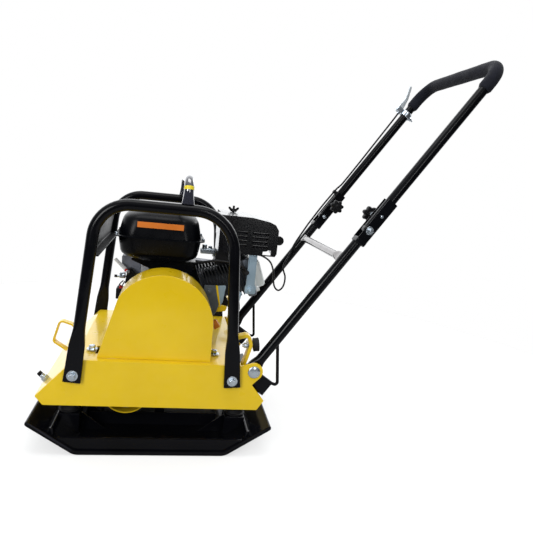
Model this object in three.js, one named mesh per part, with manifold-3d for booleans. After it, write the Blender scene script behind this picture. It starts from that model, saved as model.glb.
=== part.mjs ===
// Walk-behind plate compactor, built from separate parts. Millimetres, +Z up.
// +X points to the rear, where the handle is, and -Y to the belt-guard side.
// The origin is the centre of the flat sole, on the ground.

import * as THREE from 'three';
import { ConvexGeometry } from 'three/addons/geometries/ConvexGeometry.js';
import { mergeVertices } from 'three/addons/utils/BufferGeometryUtils.js';
import Module from 'manifold-3d';

const wasm = await Module();
wasm.setup();

// ---------- driving dimensions ----------

const GAP = 0.3;                      // clearance between parts that touch
const DEG = Math.PI / 180;

// base plate
const PLATE_HALF_WIDTH = 250;
const PLATE_THICK = 10;
const SOLE_HALF = 163;                // half length of the flat sole
const LIP_REACH = 257.5;              // half length to where the lips curl up at their tips
const LIP_ANGLE = 33 * DEG;
const RAIL_TOP = 36;
const PEDESTAL_TOP = 54;
const MOUNT_X = 190;                  // shock mounts
const MOUNT_Y = 150;
const MOUNT_POST_TOP = 60;
const MOUNT_RADIUS = 24;

// deck
const PANEL_OUT = 212;                // outer face of the side panels
const PANEL_THICK = 6;
const DECK_LOW = 96;
const DECK_TOP = 200;
const SHEET = 6;
const DECK_FRONT = -254;
const DECK_REAR = 188;
const EAR_Y = 186;                    // the bent ears that hold the rubber bumpers

// crankshaft, exciter and belt
const CRANK = { x: 3, z: 302 };
const EXCITER = { x: -66, z: 112 };
const BELT_Y = -140;
const BELT_HALF = 5.5;
const CLUTCH_PITCH = 62;
const EXCITER_PITCH = 40;
const BELT_DEPTH = 8;

// belt guard
const GUARD = { x: 3, z: 279, r: 114, front: -195, back: -95, sheet: 2.5 };
const GUARD_TURN = 143;               // where the round top ends, in degrees, at the front
const GUARD_SHOULDER = [-96, 331];
const GUARD_FOOT = -132;

// roll cage
const HOOP_Y = 218;
const CAGE_TUBE = 12.5;
const HOOP_TOP = 541;
const HOOP_CORNERS = [75, 88];        // bends at the front and the rear
const HOOP_FRONT = { foot: -176.5, slope: -0.085 };
const HOOP_REAR = { foot: 167.5, slope: 0.075 };
const HOOP_BOLT_Z = 167.5;
const HOOP_LOW = 152;                 // lower end of the flattened legs
const ARCH_X = 38;
const ARCH_TUBE = 10.5;
const ARCH_TOP = 605;
const ARCH_CORNER = 45;
const ARCH_FOOT = 13.5;               // half width of the flared feet

// handle, in its own frame: x along the arm, z square to it, from the pivot
const PIVOT = { x: 217, z: 187 };
const ARM_ANGLE = 55.93 * DEG;
const ARM_Y = 190;
const HANDLE_TUBE = 12;
const FOLD_AT = 416;
const LOCK_AT = 457;
const CROSS_AT = 330;
const HANDLE_END = 905;
const HANDLE_CORNER = 55;
const FOAM_RADIUS = 16;
const FOAM_START = 828;
const CLAMP_AT = 803;

// ---------- colours ----------

const YELLOW = { color: 0xe6b80b, roughness: 0.35, metalness: 0 };
const BLACK_PAINT = { color: 0x101114, roughness: 0.25, metalness: 0 };
const BLACK_PLASTIC = { color: 0x15161a, roughness: 0.4, metalness: 0 };
const RUBBER = { color: 0x18181a, roughness: 0.85, metalness: 0 };
const ZINC = { color: 0xb9c0c4, roughness: 0.35, metalness: 1 };
const CHROME = { color: 0xd8d8dc, roughness: 0.12, metalness: 1 };
const STEEL = { color: 0x8d9094, roughness: 0.4, metalness: 1 };
const CAST = { color: 0x9a9ca0, roughness: 0.6, metalness: 0.6 };
const GREY_PLASTIC = { color: 0x6c6e74, roughness: 0.5, metalness: 0 };
const RED_PLASTIC = { color: 0xa81c14, roughness: 0.4, metalness: 0 };
const FOAM = { color: 0x17181d, roughness: 0.95, metalness: 0 };

// ---------- geometry helpers ----------

// A closed three.js geometry as a manifold solid.
function solid(geometry) {
  const bare = geometry.clone();
  bare.deleteAttribute('normal');
  bare.deleteAttribute('uv');
  const merged = mergeVertices(bare, 1e-3);
  const index = merged.index.array;
  const kept = [];
  for (let i = 0; i < index.length; i += 3) {
    const [a, b, c] = [index[i], index[i + 1], index[i + 2]];
    if (a !== b && b !== c && c !== a) kept.push(a, b, c);
  }
  const vertProperties = new Float32Array(merged.attributes.position.array);
  const triVerts = new Uint32Array(kept);
  return new wasm.Manifold(new wasm.Mesh({ numProp: 3, vertProperties, triVerts }));
}

function join(...solids) {
  return solids.reduce((whole, piece) => whole.add(piece));
}

function cut(body, ...tools) {
  return tools.reduce((rest, tool) => rest.subtract(tool), body);
}

// A named mesh from a manifold solid.
function part(name, body, paint) {
  const mesh = body.getMesh();
  const geometry = new THREE.BufferGeometry();
  geometry.setAttribute('position', new THREE.BufferAttribute(new Float32Array(mesh.vertProperties), 3));
  geometry.setIndex(new THREE.BufferAttribute(new Uint32Array(mesh.triVerts), 1));
  geometry.computeVertexNormals();
  const node = new THREE.Mesh(geometry, new THREE.MeshStandardMaterial(paint));
  node.name = name;
  return node;
}

function box([x0, x1], [y0, y1], [z0, z1]) {
  const shape = new THREE.BoxGeometry(x1 - x0, y1 - y0, z1 - z0);
  shape.translate((x0 + x1) / 2, (y0 + y1) / 2, (z0 + z1) / 2);
  return solid(shape);
}

function rodY(radius, [y0, y1], x = 0, z = 0, sides = 16) {
  const shape = new THREE.CylinderGeometry(radius, radius, y1 - y0, sides);
  shape.translate(x, (y0 + y1) / 2, z);
  return solid(shape);
}

function rodZ(radius, [z0, z1], x = 0, y = 0, sides = 16) {
  const shape = new THREE.CylinderGeometry(radius, radius, z1 - z0, sides);
  shape.rotateX(Math.PI / 2);
  shape.translate(x, y, (z0 + z1) / 2);
  return solid(shape);
}

function rodX(radius, [x0, x1], y = 0, z = 0, sides = 12) {
  const shape = new THREE.CylinderGeometry(radius, radius, x1 - x0, sides);
  shape.rotateZ(Math.PI / 2);
  shape.translate((x0 + x1) / 2, y, z);
  return solid(shape);
}

// An outline of [x, z] points, extruded along Y.
function plate(outline, [y0, y1]) {
  const shape = new THREE.Shape(outline.map(([x, z]) => new THREE.Vector2(x, z)));
  const geometry = new THREE.ExtrudeGeometry(shape, { depth: y1 - y0, bevelEnabled: false });
  geometry.rotateX(Math.PI / 2);
  geometry.translate(0, y1, 0);
  return solid(geometry);
}

// A turned profile of [radius, y] points about the Y axis, moved to x, z.
function turned(profile, x, z, sides = 24) {
  const geometry = new THREE.LatheGeometry(profile.map(([r, y]) => new THREE.Vector2(r, y)), sides);
  geometry.translate(x, 0, z);
  const body = solid(geometry);
  return body.volume() < 0 ? solid(flipped(geometry)) : body;
}

function flipped(geometry) {
  const index = geometry.index.array;
  for (let i = 0; i < index.length; i += 3) [index[i], index[i + 1]] = [index[i + 1], index[i]];
  return geometry;
}

function arcPoints(cx, cz, r, from, to, steps) {
  const points = [];
  for (let i = 0; i <= steps; i += 1) {
    const angle = (from + (to - from) * i / steps) * DEG;
    points.push([cx + r * Math.cos(angle), cz + r * Math.sin(angle)]);
  }
  return points;
}

// The outline of a belt round two circles, the first one above the second.
function beltLoop(a, ra, b, rb, steps) {
  const span = Math.hypot(a.x - b.x, a.z - b.z);
  const lean = Math.atan2(a.z - b.z, a.x - b.x) / DEG;
  const half = Math.acos((ra - rb) / span) / DEG;
  return [
    ...arcPoints(a.x, a.z, ra, lean - 180 + half, lean + 180 - half, steps),
    ...arcPoints(b.x, b.z, rb, lean + 180 - half, lean + 180 + half, steps),
  ];
}

// A path whose stations are used exactly as given by an extrusion.
class StationPath extends THREE.Curve {
  constructor(stations) {
    super();
    this.stations = stations;
  }

  getPoint(t, target = new THREE.Vector3()) {
    const last = this.stations.length - 1;
    const at = Math.min(Math.max(t, 0), 1) * last;
    const i = Math.min(Math.floor(at), last - 1);
    return target.copy(this.stations[i]).lerp(this.stations[i + 1], at - i);
  }

  getSpacedPoints() {
    return this.stations;
  }

  getTangentAt(u, target = new THREE.Vector3()) {
    const last = this.stations.length - 1;
    const i = Math.round(u * last);
    const into = new THREE.Vector3();
    if (i > 0) into.subVectors(this.stations[i], this.stations[i - 1]).normalize();
    if (i < last) into.add(target.subVectors(this.stations[i + 1], this.stations[i]).normalize());
    return target.copy(into).normalize();
  }
}

// A round bar through corner points. bends is the radius of every inner corner, or a list of them.
function tube(corners, radius, bends, sides = 10, bendSteps = 5) {
  const points = corners.map((corner) => new THREE.Vector3(...corner));
  const stations = [points[0]];
  for (let i = 1; i < points.length - 1; i += 1) {
    const back = points[i - 1].clone().sub(points[i]).normalize();
    const on = points[i + 1].clone().sub(points[i]).normalize();
    const half = back.angleTo(on) / 2;
    const bend = Array.isArray(bends) ? bends[i - 1] : bends;
    const run = bend / Math.tan(half);
    const centre = back.clone().add(on).normalize().multiplyScalar(bend / Math.sin(half)).add(points[i]);
    const start = back.multiplyScalar(run).add(points[i]).sub(centre);
    const end = on.multiplyScalar(run).add(points[i]).sub(centre);
    const sweep = start.angleTo(end);
    const axis = start.clone().cross(end).normalize();
    for (let k = 0; k <= bendSteps; k += 1) {
      stations.push(start.clone().applyAxisAngle(axis, sweep * k / bendSteps).add(centre));
    }
  }
  stations.push(points.at(-1));
  return sweepSection(stations, radius, sides);
}

function sweepSection(stations, radius, sides) {
  const section = arcPoints(0, 0, radius, 0, 360, sides).slice(0, -1);
  const shape = new THREE.Shape(section.map(([x, y]) => new THREE.Vector2(x, y)));
  const extrudePath = new StationPath(stations);
  const steps = stations.length - 1;
  return solid(new THREE.ExtrudeGeometry(shape, { extrudePath, steps, bevelEnabled: false }));
}

// A cable through hand-placed points, on one smooth curve.
function cable(points, radius, steps) {
  const curve = new THREE.CatmullRomCurve3(points.map((point) => new THREE.Vector3(...point)));
  return sweepSection(curve.getSpacedPoints(steps), radius, 8);
}

// A box with rounded vertical edges and a domed top and bottom.
function cushionBox([x0, x1], [y0, y1], [z0, z1], corner, rise, inset) {
  const [hx, hy] = [(x1 - x0) / 2 - inset, (y1 - y0) / 2 - inset];
  const shape = new THREE.Shape();
  const corners = [[hx, hy, 0], [-hx, hy, 90], [-hx, -hy, 180], [hx, -hy, 270]];
  const points = corners.flatMap(([x, y, turn]) => arcPoints(
    x - Math.sign(x) * corner, y - Math.sign(y) * corner, corner, turn, turn + 90, 3));
  shape.setFromPoints(points.map(([x, y]) => new THREE.Vector2(x, y)));
  const geometry = new THREE.ExtrudeGeometry(shape, {
    depth: z1 - z0 - 2 * rise, bevelThickness: rise, bevelSize: inset, bevelSegments: 3,
  });
  geometry.translate((x0 + x1) / 2, (y0 + y1) / 2, z0 + rise);
  return solid(geometry);
}

// Both signs of Y: the near side is -1 and the far side is +1.
const SIDES = [['near', -1], ['far', 1]];

const between = (a, b) => [Math.min(a, b), Math.max(a, b)];

// ---------- base plate and exciter ----------

function basePlate() {
  const tipZ = (LIP_REACH - SOLE_HALF) * Math.tan(LIP_ANGLE);
  const [backX, upZ] = [PLATE_THICK * Math.sin(LIP_ANGLE), PLATE_THICK * Math.cos(LIP_ANGLE)];
  const innerX = SOLE_HALF - PLATE_THICK * Math.tan(LIP_ANGLE / 2);
  const right = [
    [SOLE_HALF, 0], [LIP_REACH, tipZ], [LIP_REACH + 5, tipZ + 3.8], [LIP_REACH + 6.5, tipZ + 9.8],
    [LIP_REACH + 3.5, tipZ + 14], [LIP_REACH - backX, tipZ + upZ], [innerX, PLATE_THICK],
  ];
  const left = right.map(([x, z]) => [-x, z]).reverse();
  let body = plate([...right, ...left], [-PLATE_HALF_WIDTH, PLATE_HALF_WIDTH]);
  const railEnd = 205;
  const railFoot = 160;
  const rail = [[-railEnd, RAIL_TOP], [-railFoot, 5], [railFoot, 5], [railEnd, RAIL_TOP]];
  for (const [, side] of SIDES) {
    body = join(body, plate(rail, between(side * 236, side * 244)));
    body = join(body, box([-150, 150], between(side * 114, side * 120), [8, 40]));
  }
  for (const end of [-1, 1]) {
    const wall = [[205, 30], [211, 34], [214, 56], [208, 56]].map(([x, z]) => [end * x, z]);
    body = join(body, plate(wall, [-240, 240]));
    for (const [, side] of SIDES) {
      const post = [[164, 8], [212, 34], [212, MOUNT_POST_TOP], [164, MOUNT_POST_TOP]];
      const width = between(side * (MOUNT_Y - 26), side * (MOUNT_Y + 26));
      body = join(body, plate(post.map(([x, z]) => [end * x, z]), width));
    }
  }
  for (const x of [EXCITER.x - 90, EXCITER.x + 68]) {
    body = join(body, box([x, x + 22], [-105, 105], [8, PEDESTAL_TOP]));
  }
  return part('base_plate', body, BLACK_PAINT);
}

const EXCITER_HALF = 100;
const BEARING_OUT = 26;
const SHAFT_RADIUS = 15;

function exciterHousing() {
  const { x, z } = EXCITER;
  const foot = box([x - 99, x + 99], [-105, 105], [PEDESTAL_TOP + GAP, 68]);
  const web = box([x - 36, x + 36], [-92, 92], [60, z]);
  const barrel = rodY(50, [-EXCITER_HALF, EXCITER_HALF], x, z, 22);
  const inside = rodY(41, [-82, 82], x, z, 18);
  const seats = rodY(BEARING_OUT, [-EXCITER_HALF - 5, EXCITER_HALF + 5], x, z, 18);
  return part('exciter_housing', cut(join(foot, web, barrel), inside, seats), YELLOW);
}

function exciterCover() {
  const { x, z } = EXCITER;
  const disc = rodY(40, [EXCITER_HALF + GAP, EXCITER_HALF + 7], x, z, 20);
  return part('exciter_cover', join(disc, rodY(20, [EXCITER_HALF + 5, EXCITER_HALF + 12], x, z)), YELLOW);
}

function bearing(name, side) {
  const width = between(side * 84, side * 98);
  const ring = rodY(BEARING_OUT - GAP, width, EXCITER.x, EXCITER.z, 18);
  const bore = rodY(SHAFT_RADIUS + GAP, [-110, 110], EXCITER.x, EXCITER.z);
  return part(`exciter_bearing_${name}`, cut(ring, bore), STEEL);
}

function eccentricShaft() {
  const { x, z } = EXCITER;
  const shaft = join(rodY(SHAFT_RADIUS, [-118, 98], x, z), rodY(12, [-152, -110], x, z));
  const lobe = cut(rodY(37, [-74, 74], x, z, 20), box([x - 50, x + 50], [-80, 80], [z, z + 50]));
  return part('eccentric_shaft', join(shaft, lobe), STEEL);
}

// A grooved pulley about Y, with a bore through it.
function pulley(name, centre, pitch, rim, hub, bore, paint) {
  const floor = pitch - BELT_DEPTH / 2 - 0.5;
  const groove = BELT_HALF + 0.7;
  const profile = [
    [bore, BELT_Y - 12], [rim, BELT_Y - 12], [rim, BELT_Y - groove], [floor, BELT_Y - groove],
    [floor, BELT_Y + groove], [rim, BELT_Y + groove], [rim, BELT_Y + 12], [hub, BELT_Y + 12],
    [hub, BELT_Y + 12 + (hub < rim ? 26 : 0.1)], [bore, BELT_Y + 12 + (hub < rim ? 26 : 0.1)],
    [bore, BELT_Y - 12],
  ];
  return part(name, turned(profile, centre.x, centre.z, 22), paint);
}

function shockMount(name, end, side) {
  const [x, y] = [end * MOUNT_X, side * MOUNT_Y];
  const low = MOUNT_POST_TOP + GAP;
  const high = DECK_LOW - GAP;
  const body = join(
    rodZ(MOUNT_RADIUS, [low, low + 3], x, y, 12),
    rodZ(MOUNT_RADIUS - 3, [low + 2, high - 2], x, y, 12),
    rodZ(MOUNT_RADIUS, [high - 3, high], x, y, 12));
  return part(`shock_mount_${name}`, body, RUBBER);
}

// ---------- deck ----------

function panelOutline() {
  return [
    [-237, 95], [232, 95], [247, 118], [215.4, 155.4],
    ...arcPoints(PIVOT.x, PIVOT.z, 21, -44.5, 120, 9),
    [188, DECK_TOP], [-176, DECK_TOP], [DECK_FRONT, 115],
  ];
}

function deckFrame() {
  const inner = PANEL_OUT - PANEL_THICK;
  let body = null;
  for (const [, side] of SIDES) {
    const panel = plate(panelOutline(), between(side * inner, side * PANEL_OUT));
    const bored = cut(panel, rodY(8.5, between(side * (inner - 5), side * (PANEL_OUT + 5)), PIVOT.x, PIVOT.z));
    body = body ? join(body, bored) : bored;
  }
  const across = [-inner - 1, inner + 1];
  const slope = [[DECK_FRONT, 115], [-176, DECK_TOP], [-170, 194], [-248, 109]];
  const bed = box([-176, DECK_REAR], across, [DECK_TOP - SHEET, DECK_TOP]);
  const beltSlot = box([-140, 78], [-166, -112], [DECK_TOP - 20, DECK_TOP + 5]);
  const apron = box([DECK_REAR - SHEET, DECK_REAR], across, [DECK_LOW, DECK_TOP]);
  const frontFloor = box([-237, -150], across, [DECK_LOW, DECK_LOW + SHEET]);
  const rearFloor = box([150, 214], across, [DECK_LOW, DECK_LOW + SHEET]);
  body = join(body, plate(slope, across), cut(bed, beltSlot), apron, frontFloor, rearFloor);
  for (const [, side] of SIDES) {
    const ear = [
      [184, 150], [196, 164], [197, 194], [204, 214], [211.5, 246], [203, 273], [174, 265],
      [176, 257.5], [197, 264], [203, 245], [196, 217], [189, 198], [184, 176],
    ];
    body = join(body, plate(ear, between(side * (EAR_Y - 12), side * (EAR_Y + 12))));
    body = join(body, box([180, 195.6], between(side * 180, side * 200), [140, 166]));
  }
  return part('deck_frame', body, YELLOW);
}

// A round rubber stop on each ear, tilted up a little, that the raised handle arm meets.
const BUMPER = { x: 219.4, z: 244.5, radius: 16, half: 6.5, tilt: 7 * DEG };

function rubberBumper(name, side) {
  const disc = rodX(BUMPER.radius, [-BUMPER.half, BUMPER.half], 0, 0, 20);
  const node = part(`rubber_bumper_${name}`, disc, RUBBER);
  node.position.set(BUMPER.x, side * EAR_Y, BUMPER.z);
  node.rotation.y = -BUMPER.tilt;
  return node;
}

function pivotBolt(name, side) {
  const shank = rodY(8, between(side * 176, side * (PANEL_OUT + 3)), PIVOT.x, PIVOT.z);
  const head = rodY(14, between(side * (PANEL_OUT + GAP), side * (PANEL_OUT + 5)), PIVOT.x, PIVOT.z, 24);
  return part(`pivot_bolt_${name}`, join(shank, head), ZINC);
}

function frontGrip() {
  const outer = [[-224, 151], [-257, 172], [-243, 222], [-216, 213], [-194, 184.5]];
  const inner = [[-189, 189], [-216, 219], [-247.5, 228], [-263.5, 170], [-228, 147]];
  return part('front_grip', plate([...outer, ...inner], [-10, 10]).translate([-1.2, 0, 1.2]), YELLOW);
}

function drainFitting() {
  const base = rodZ(9, [0, 9], 0, 0, 6);
  const neck = rodZ(6, [8, 16]);
  const cap = box([-4.5, 4.5], [-4.5, 4.5], [15, 24]);
  const node = part('drain_fitting', join(base, neck, cap), ZINC);
  node.position.set(-242.8, -150, 128.6);
  node.rotation.y = -47 * DEG;
  return node;
}

// ---------- belt drive ----------

function guardOutline(inset, foot) {
  const r = GUARD.r - inset;
  return [
    [GUARD.x + r, foot], ...arcPoints(GUARD.x, GUARD.z, r, 0, GUARD_TURN, 14),
    [GUARD_SHOULDER[0] + inset, GUARD_SHOULDER[1]], [GUARD_FOOT + inset, foot],
  ];
}

function beltGuard() {
  const low = DECK_TOP + GAP;
  const outer = plate(guardOutline(0, low), [GUARD.front, GUARD.back]);
  const inner = plate(
    guardOutline(GUARD.sheet, low - 5),
    [GUARD.front + GUARD.sheet, GUARD.back + 5]);
  const leftTab = box([-166, -129.5], [-168, -130], [low, low + 3]);
  const rightTab = box([115, 146], [-162, -124], [low, low + 3]);
  return part('belt_guard', join(cut(outer, inner), leftTab, rightTab), YELLOW);
}

function beltChute() {
  const high = DECK_TOP - SHEET - GAP;
  const skin = (r, grow, top) => [
    ...arcPoints(EXCITER.x, EXCITER.z, r, 180, 360, 12), [48 + grow, top], [-132 - grow, top],
  ];
  const band = cut(plate(skin(59, 3, high), [-162, -118]), plate(skin(56, 0, high + 5), [-170, -110]));
  return part('belt_chute', join(
    band,
    box([-137, -132], [-162, -118], [high - 6, high]),
    box([48, 53], [-162, -118], [high - 6, high])), YELLOW);
}

function driveBelt() {
  const outer = beltLoop(CRANK, CLUTCH_PITCH + BELT_DEPTH / 2, EXCITER, EXCITER_PITCH + BELT_DEPTH / 2, 16);
  const inner = beltLoop(CRANK, CLUTCH_PITCH - BELT_DEPTH / 2, EXCITER, EXCITER_PITCH - BELT_DEPTH / 2, 16);
  const width = [BELT_Y - BELT_HALF, BELT_Y + BELT_HALF];
  const wide = [width[0] - 5, width[1] + 5];
  return part('drive_belt', cut(plate(outer, width), plate(inner, wide)), RUBBER);
}

// ---------- roll cage ----------

function legX({ foot, slope }, z) {
  return foot - slope * (z - HOOP_BOLT_Z);
}

function hoop(name, side) {
  const y = side * HOOP_Y;
  const corners = [
    [legX(HOOP_FRONT, 250), y, 250], [legX(HOOP_FRONT, HOOP_TOP), y, HOOP_TOP],
    [legX(HOOP_REAR, HOOP_TOP), y, HOOP_TOP], [legX(HOOP_REAR, 250), y, 250],
  ];
  let body = tube(corners, CAGE_TUBE, HOOP_CORNERS, 12);
  for (const leg of [HOOP_FRONT, HOOP_REAR]) {
    const [lowX, neckX, highX] = [legX(leg, HOOP_LOW), legX(leg, 235), legX(leg, 272)];
    const foot = plate([
      [lowX - 18.5, HOOP_LOW], [lowX + 18.5, HOOP_LOW], [neckX + 16, 235], [highX + 11, 272],
      [highX - 11, 272], [neckX - 16, 235],
    ], between(y - side * (CAGE_TUBE / 2 - 1), y + side * 5));
    body = join(body, foot);
  }
  return part(`hoop_${name}`, body, BLACK_PAINT);
}

function liftingArch() {
  const low = HOOP_TOP + CAGE_TUBE + GAP;
  const corners = [
    [ARCH_X, -HOOP_Y, low], [ARCH_X, -HOOP_Y, ARCH_TOP], [ARCH_X, HOOP_Y, ARCH_TOP], [ARCH_X, HOOP_Y, low],
  ];
  let body = tube(corners, ARCH_TUBE, ARCH_CORNER, 12);
  for (const [, side] of SIDES) {
    const wide = [ARCH_X - ARCH_FOOT, ARCH_X + ARCH_FOOT];
    body = join(body, box(wide, between(side * (HOOP_Y - 8), side * (HOOP_Y + 8)), [low, low + 6]));
  }
  return part('lifting_arch', body, BLACK_PAINT);
}

function frontCrossPlate() {
  const reach = HOOP_Y - CAGE_TUBE - GAP;
  const face = [[-161, 430], [-152, 497], [-148, 497], [-157, 430]];
  const lip = [[-161, 430], [-138, 426], [-138, 430], [-157, 434]];
  const body = join(plate(face, [-reach, reach]), plate(lip, [-reach, reach]));
  return part('front_cross_plate', body, BLACK_PAINT);
}

// ---------- engine ----------

const ENGINE_LOW = DECK_TOP + GAP;
const CASE_NEAR = -85;
const CASE_FAR = 58;

function crankcase() {
  const outline = [
    [-88, ENGINE_LOW], [100, ENGINE_LOW], [100, 212], [92, 216], [96, 262], [84, 345], [20, 368],
    [-48, 368], [-76, 330], [-80, 216], [-88, 212],
  ];
  const shell = plate(outline, [CASE_NEAR, CASE_FAR]);
  const sump = rodY(56, [CASE_NEAR + 14, CASE_FAR + 5], CRANK.x, 296, 20);
  const bore = rodY(14, [CASE_NEAR - 10, CASE_FAR], CRANK.x, CRANK.z);
  const nose = rodY(30, [CASE_NEAR - 8, CASE_NEAR + 2], CRANK.x, CRANK.z);
  const posts = [-58, 34].map((x) => box([x, x + 20], [-12, 14], [355, 398 - GAP]));
  return part('crankcase', cut(join(shell, nose, ...posts), sump, bore), CAST);
}

function crankshaft() {
  const { x, z } = CRANK;
  const shaft = join(rodY(10, [-168, -60], x, z), rodY(12.5, [-90, 62], x, z), rodY(9, [60, 96], x, z));
  const web = join(rodY(42, [-44, -30], x, z), rodY(42, [-2, 12], x, z));
  const flats = join(
    box([x - 60, x - 26], [-50, 20], [z - 60, z + 60]), box([x + 26, x + 60], [-50, 20], [z - 60, z + 60]));
  const pin = rodY(11, [-32, 0], x, z + 26);
  return part('crankshaft', join(shaft, cut(web, flats), pin), STEEL);
}

function flywheel() {
  const disc = turned([[9.4, 64], [74, 64], [74, 80], [30, 80], [30, 90], [9.4, 90], [9.4, 64]], CRANK.x, CRANK.z);
  return part('flywheel', disc, CAST);
}

// The cylinder leans back from the crankshaft; its frame has x along the bore.
const CYLINDER_LEAN = 20 * DEG;

function cylinder() {
  let body = box([98, 226], [-40, 40], [-38, 38]);
  for (let i = 0; i < 11; i += 1) {
    const at = 104 + i * 11;
    body = join(body, box([at, at + 3.5], [-62, 46], [-58, 52]));
  }
  body = join(body, box([206, 228], [-56, 42], [-50, 46]));
  return part('cylinder', body, CAST);
}

function rockerCover() {
  const skirt = box([228 + GAP, 234], [-48, 34], [-44, 42]);
  const dome = box([233, 256], [-42, 28], [-36, 34]);
  return part('rocker_cover', join(skirt, dome), ZINC);
}

// The tank is two pressed shells that meet at a seam flange. Each level is [z, distance in from the seam].
const TANK = { x: -16, y: 5, halfX: 100, halfY: 89, corner: 26, wall: 5, neck: 22, mouth: 18 };
const FILLER = { x: -12, y: 10 };
const TANK_LEVELS = [
  [398, 32], [402, 24], [410, 17.5], [428, 11], [446, 5], [456, 1], [470, 3], [492, 9], [508, 14], [516, 20], [520, 32],
];

function tankShell(inset, levels) {
  const points = levels.flatMap(([z, distance]) => {
    const hx = TANK.halfX - distance - inset;
    const hy = TANK.halfY - distance - inset;
    return [[1, 1, 0], [-1, 1, 90], [-1, -1, 180], [1, -1, 270]].flatMap(([sx, sy, turn]) => arcPoints(
      TANK.x + sx * (hx - TANK.corner), TANK.y + sy * (hy - TANK.corner), TANK.corner, turn, turn + 90, 3)
      .map(([x, y]) => new THREE.Vector3(x, y, z)));
  });
  return solid(new ConvexGeometry(points));
}

function fuelTank() {
  const shell = tankShell(0, TANK_LEVELS);
  const flange = tankShell(-8, [[455, 0], [458.5, 0]]);
  const neck = rodZ(TANK.neck, [516, 524], FILLER.x, FILLER.y);
  const inner = TANK_LEVELS.map(([z, distance]) => [459 + (z - 459) * 0.92, distance]);
  const mouth = rodZ(TANK.mouth, [505, 530], FILLER.x, FILLER.y);
  return part('fuel_tank', cut(join(shell, flange, neck), tankShell(TANK.wall, inner), mouth), BLACK_PLASTIC);
}

function fuelCap() {
  const cap = rodZ(31, [520 + GAP, 539], FILLER.x, FILLER.y, 24);
  const recess = rodZ(TANK.neck + GAP, [515, 524 + GAP], FILLER.x, FILLER.y, 24);
  return part('fuel_cap', cut(cap, recess), BLACK_PLASTIC);
}

const HOOD_NEAR = -86;

function mufflerGuard() {
  const outline = [[122, 438], [262, 437], [266, 444], [266, 502], [257, 515], [242, 521], [200, 528], [122, 529]];
  const inside = [
    [124.5, 430], [260, 430], [263.5, 445], [263.5, 501], [255, 512.5], [241, 518], [200, 525.5], [124.5, 526.5],
  ];
  let body = cut(plate(outline, [HOOD_NEAR, 0]), plate(inside, [HOOD_NEAR + 2.5, 5]));
  for (let row = 0; row < 4; row += 1) {
    const z = 456 + row * 10.5;
    for (const column of [[166, 190], [203, 242]]) {
      body = cut(body, box(column, [HOOD_NEAR - 5, HOOD_NEAR + 5], [z, z + 4]));
    }
  }
  body = cut(body, box([231, 251], [HOOD_NEAR - 5, HOOD_NEAR + 5], [440, 452]));
  return part('muffler_guard', body, BLACK_PLASTIC);
}

function muffler() {
  const can = cushionBox([130, 250], [-76, -8], [446, 508], 12, 8, 5);
  const pipe = rodZ(13, [424, 448], 170, -40);
  return part('muffler', join(can, pipe), STEEL);
}

function mufflerStay() {
  const strap = box([200, 221], [-76, -73], [340, 446]);
  const foot = box([197, 225], [-76, -73], [338, 358]);
  const bolt = rodY(6, [-80, -65], 209, 349, 6);
  return part('muffler_stay', join(strap, foot, bolt), ZINC);
}

function airCleanerBase() {
  const tray = cut(box([134, 258], [8, 106], [442, 464]), box([138, 254], [12, 102], [448, 470]));
  const stud = rodZ(3, [446, 545], 167, 57, 10);
  const throat = rodZ(17, [432, 460], 190, 66);
  return part('air_cleaner_base', cut(join(tray, stud, throat), rodZ(12, [425, 465], 190, 66)), BLACK_PLASTIC);
}

function filterElement() {
  const foam = box([142, 248], [18, 96], [466, 512]);
  return part('filter_element', cut(foam, box([156, 230], [36, 78], [460, 520])), FOAM);
}

function airCleanerCover() {
  const low = 464 + GAP;
  const outer = [[130, low], [262, low], [264, 500], [252, 518], [200, 527], [130, 529]];
  const inner = [[133, low - 5], [259, low - 5], [261, 499], [250, 515], [200, 524], [133, 526]];
  const shell = cut(plate(outer, [4, 110]), plate(inner, [7, 107]));
  return part('air_cleaner_cover', cut(shell, rodZ(4, [515, 540], 167, 57, 12)), BLACK_PLASTIC);
}

function wingNut() {
  const hub = rodZ(8, [529 + GAP, 537], 167, 57, 12);
  const wings = box([153, 181], [55, 59], [532, 542]);
  return part('wing_nut', cut(join(hub, wings), rodZ(3.4, [520, 550], 167, 57, 12)), BLACK_PLASTIC);
}

function carburettor() {
  const body = box([172, 208], [49, 83], [396, 431.6]);
  const bowl = rodZ(15, [376, 398], 190, 66);
  const stub = rodX(5, [206, 216], 66, 418);
  return part('carburettor', join(body, bowl, stub), CAST);
}

const CHOKE = { x: 232, z: 433 };

function chokeLever() {
  const arm = plate([[CHOKE.x - 5, CHOKE.z - 4], [CHOKE.x + 6, CHOKE.z - 4], [290, 463], [285, 471]], [2.5, 5.5]);
  const knob = turned([[0, 1], [10, 1], [12, 3], [12, 11], [10, 13], [0, 13]], 288, 467.5, 20);
  return part('choke_lever', join(arm, knob), BLACK_PLASTIC);
}

function fanHousing() {
  const outline = (grow) => [
    ...arcPoints(CRANK.x, 300, 90 + grow, 90, 330, 12), [112 + grow, 262], [140 + grow, 330],
    [132 + grow, 386 + grow], [60, 390 + grow],
  ];
  const shell = cut(plate(outline(3), [CASE_FAR + GAP, 100]), plate(outline(0), [CASE_FAR - 5, 97]));
  return part('fan_housing', cut(shell, rodY(46, [90, 110], CRANK.x, CRANK.z, 24)), GREY_PLASTIC);
}

function recoilCover() {
  const dome = turned([[0, 100 + GAP], [82, 100 + GAP], [82, 112], [66, 126], [0, 126]], CRANK.x, CRANK.z, 24);
  const ear = box([-86, -66], [102, 122], [330, 352]);
  return part('recoil_cover', join(dome, ear), BLACK_PLASTIC);
}

// The pull grip sits on the recoil cover's ear and leaves it along its cord's line.
const RECOIL_LEAN = 20 * DEG;

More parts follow.
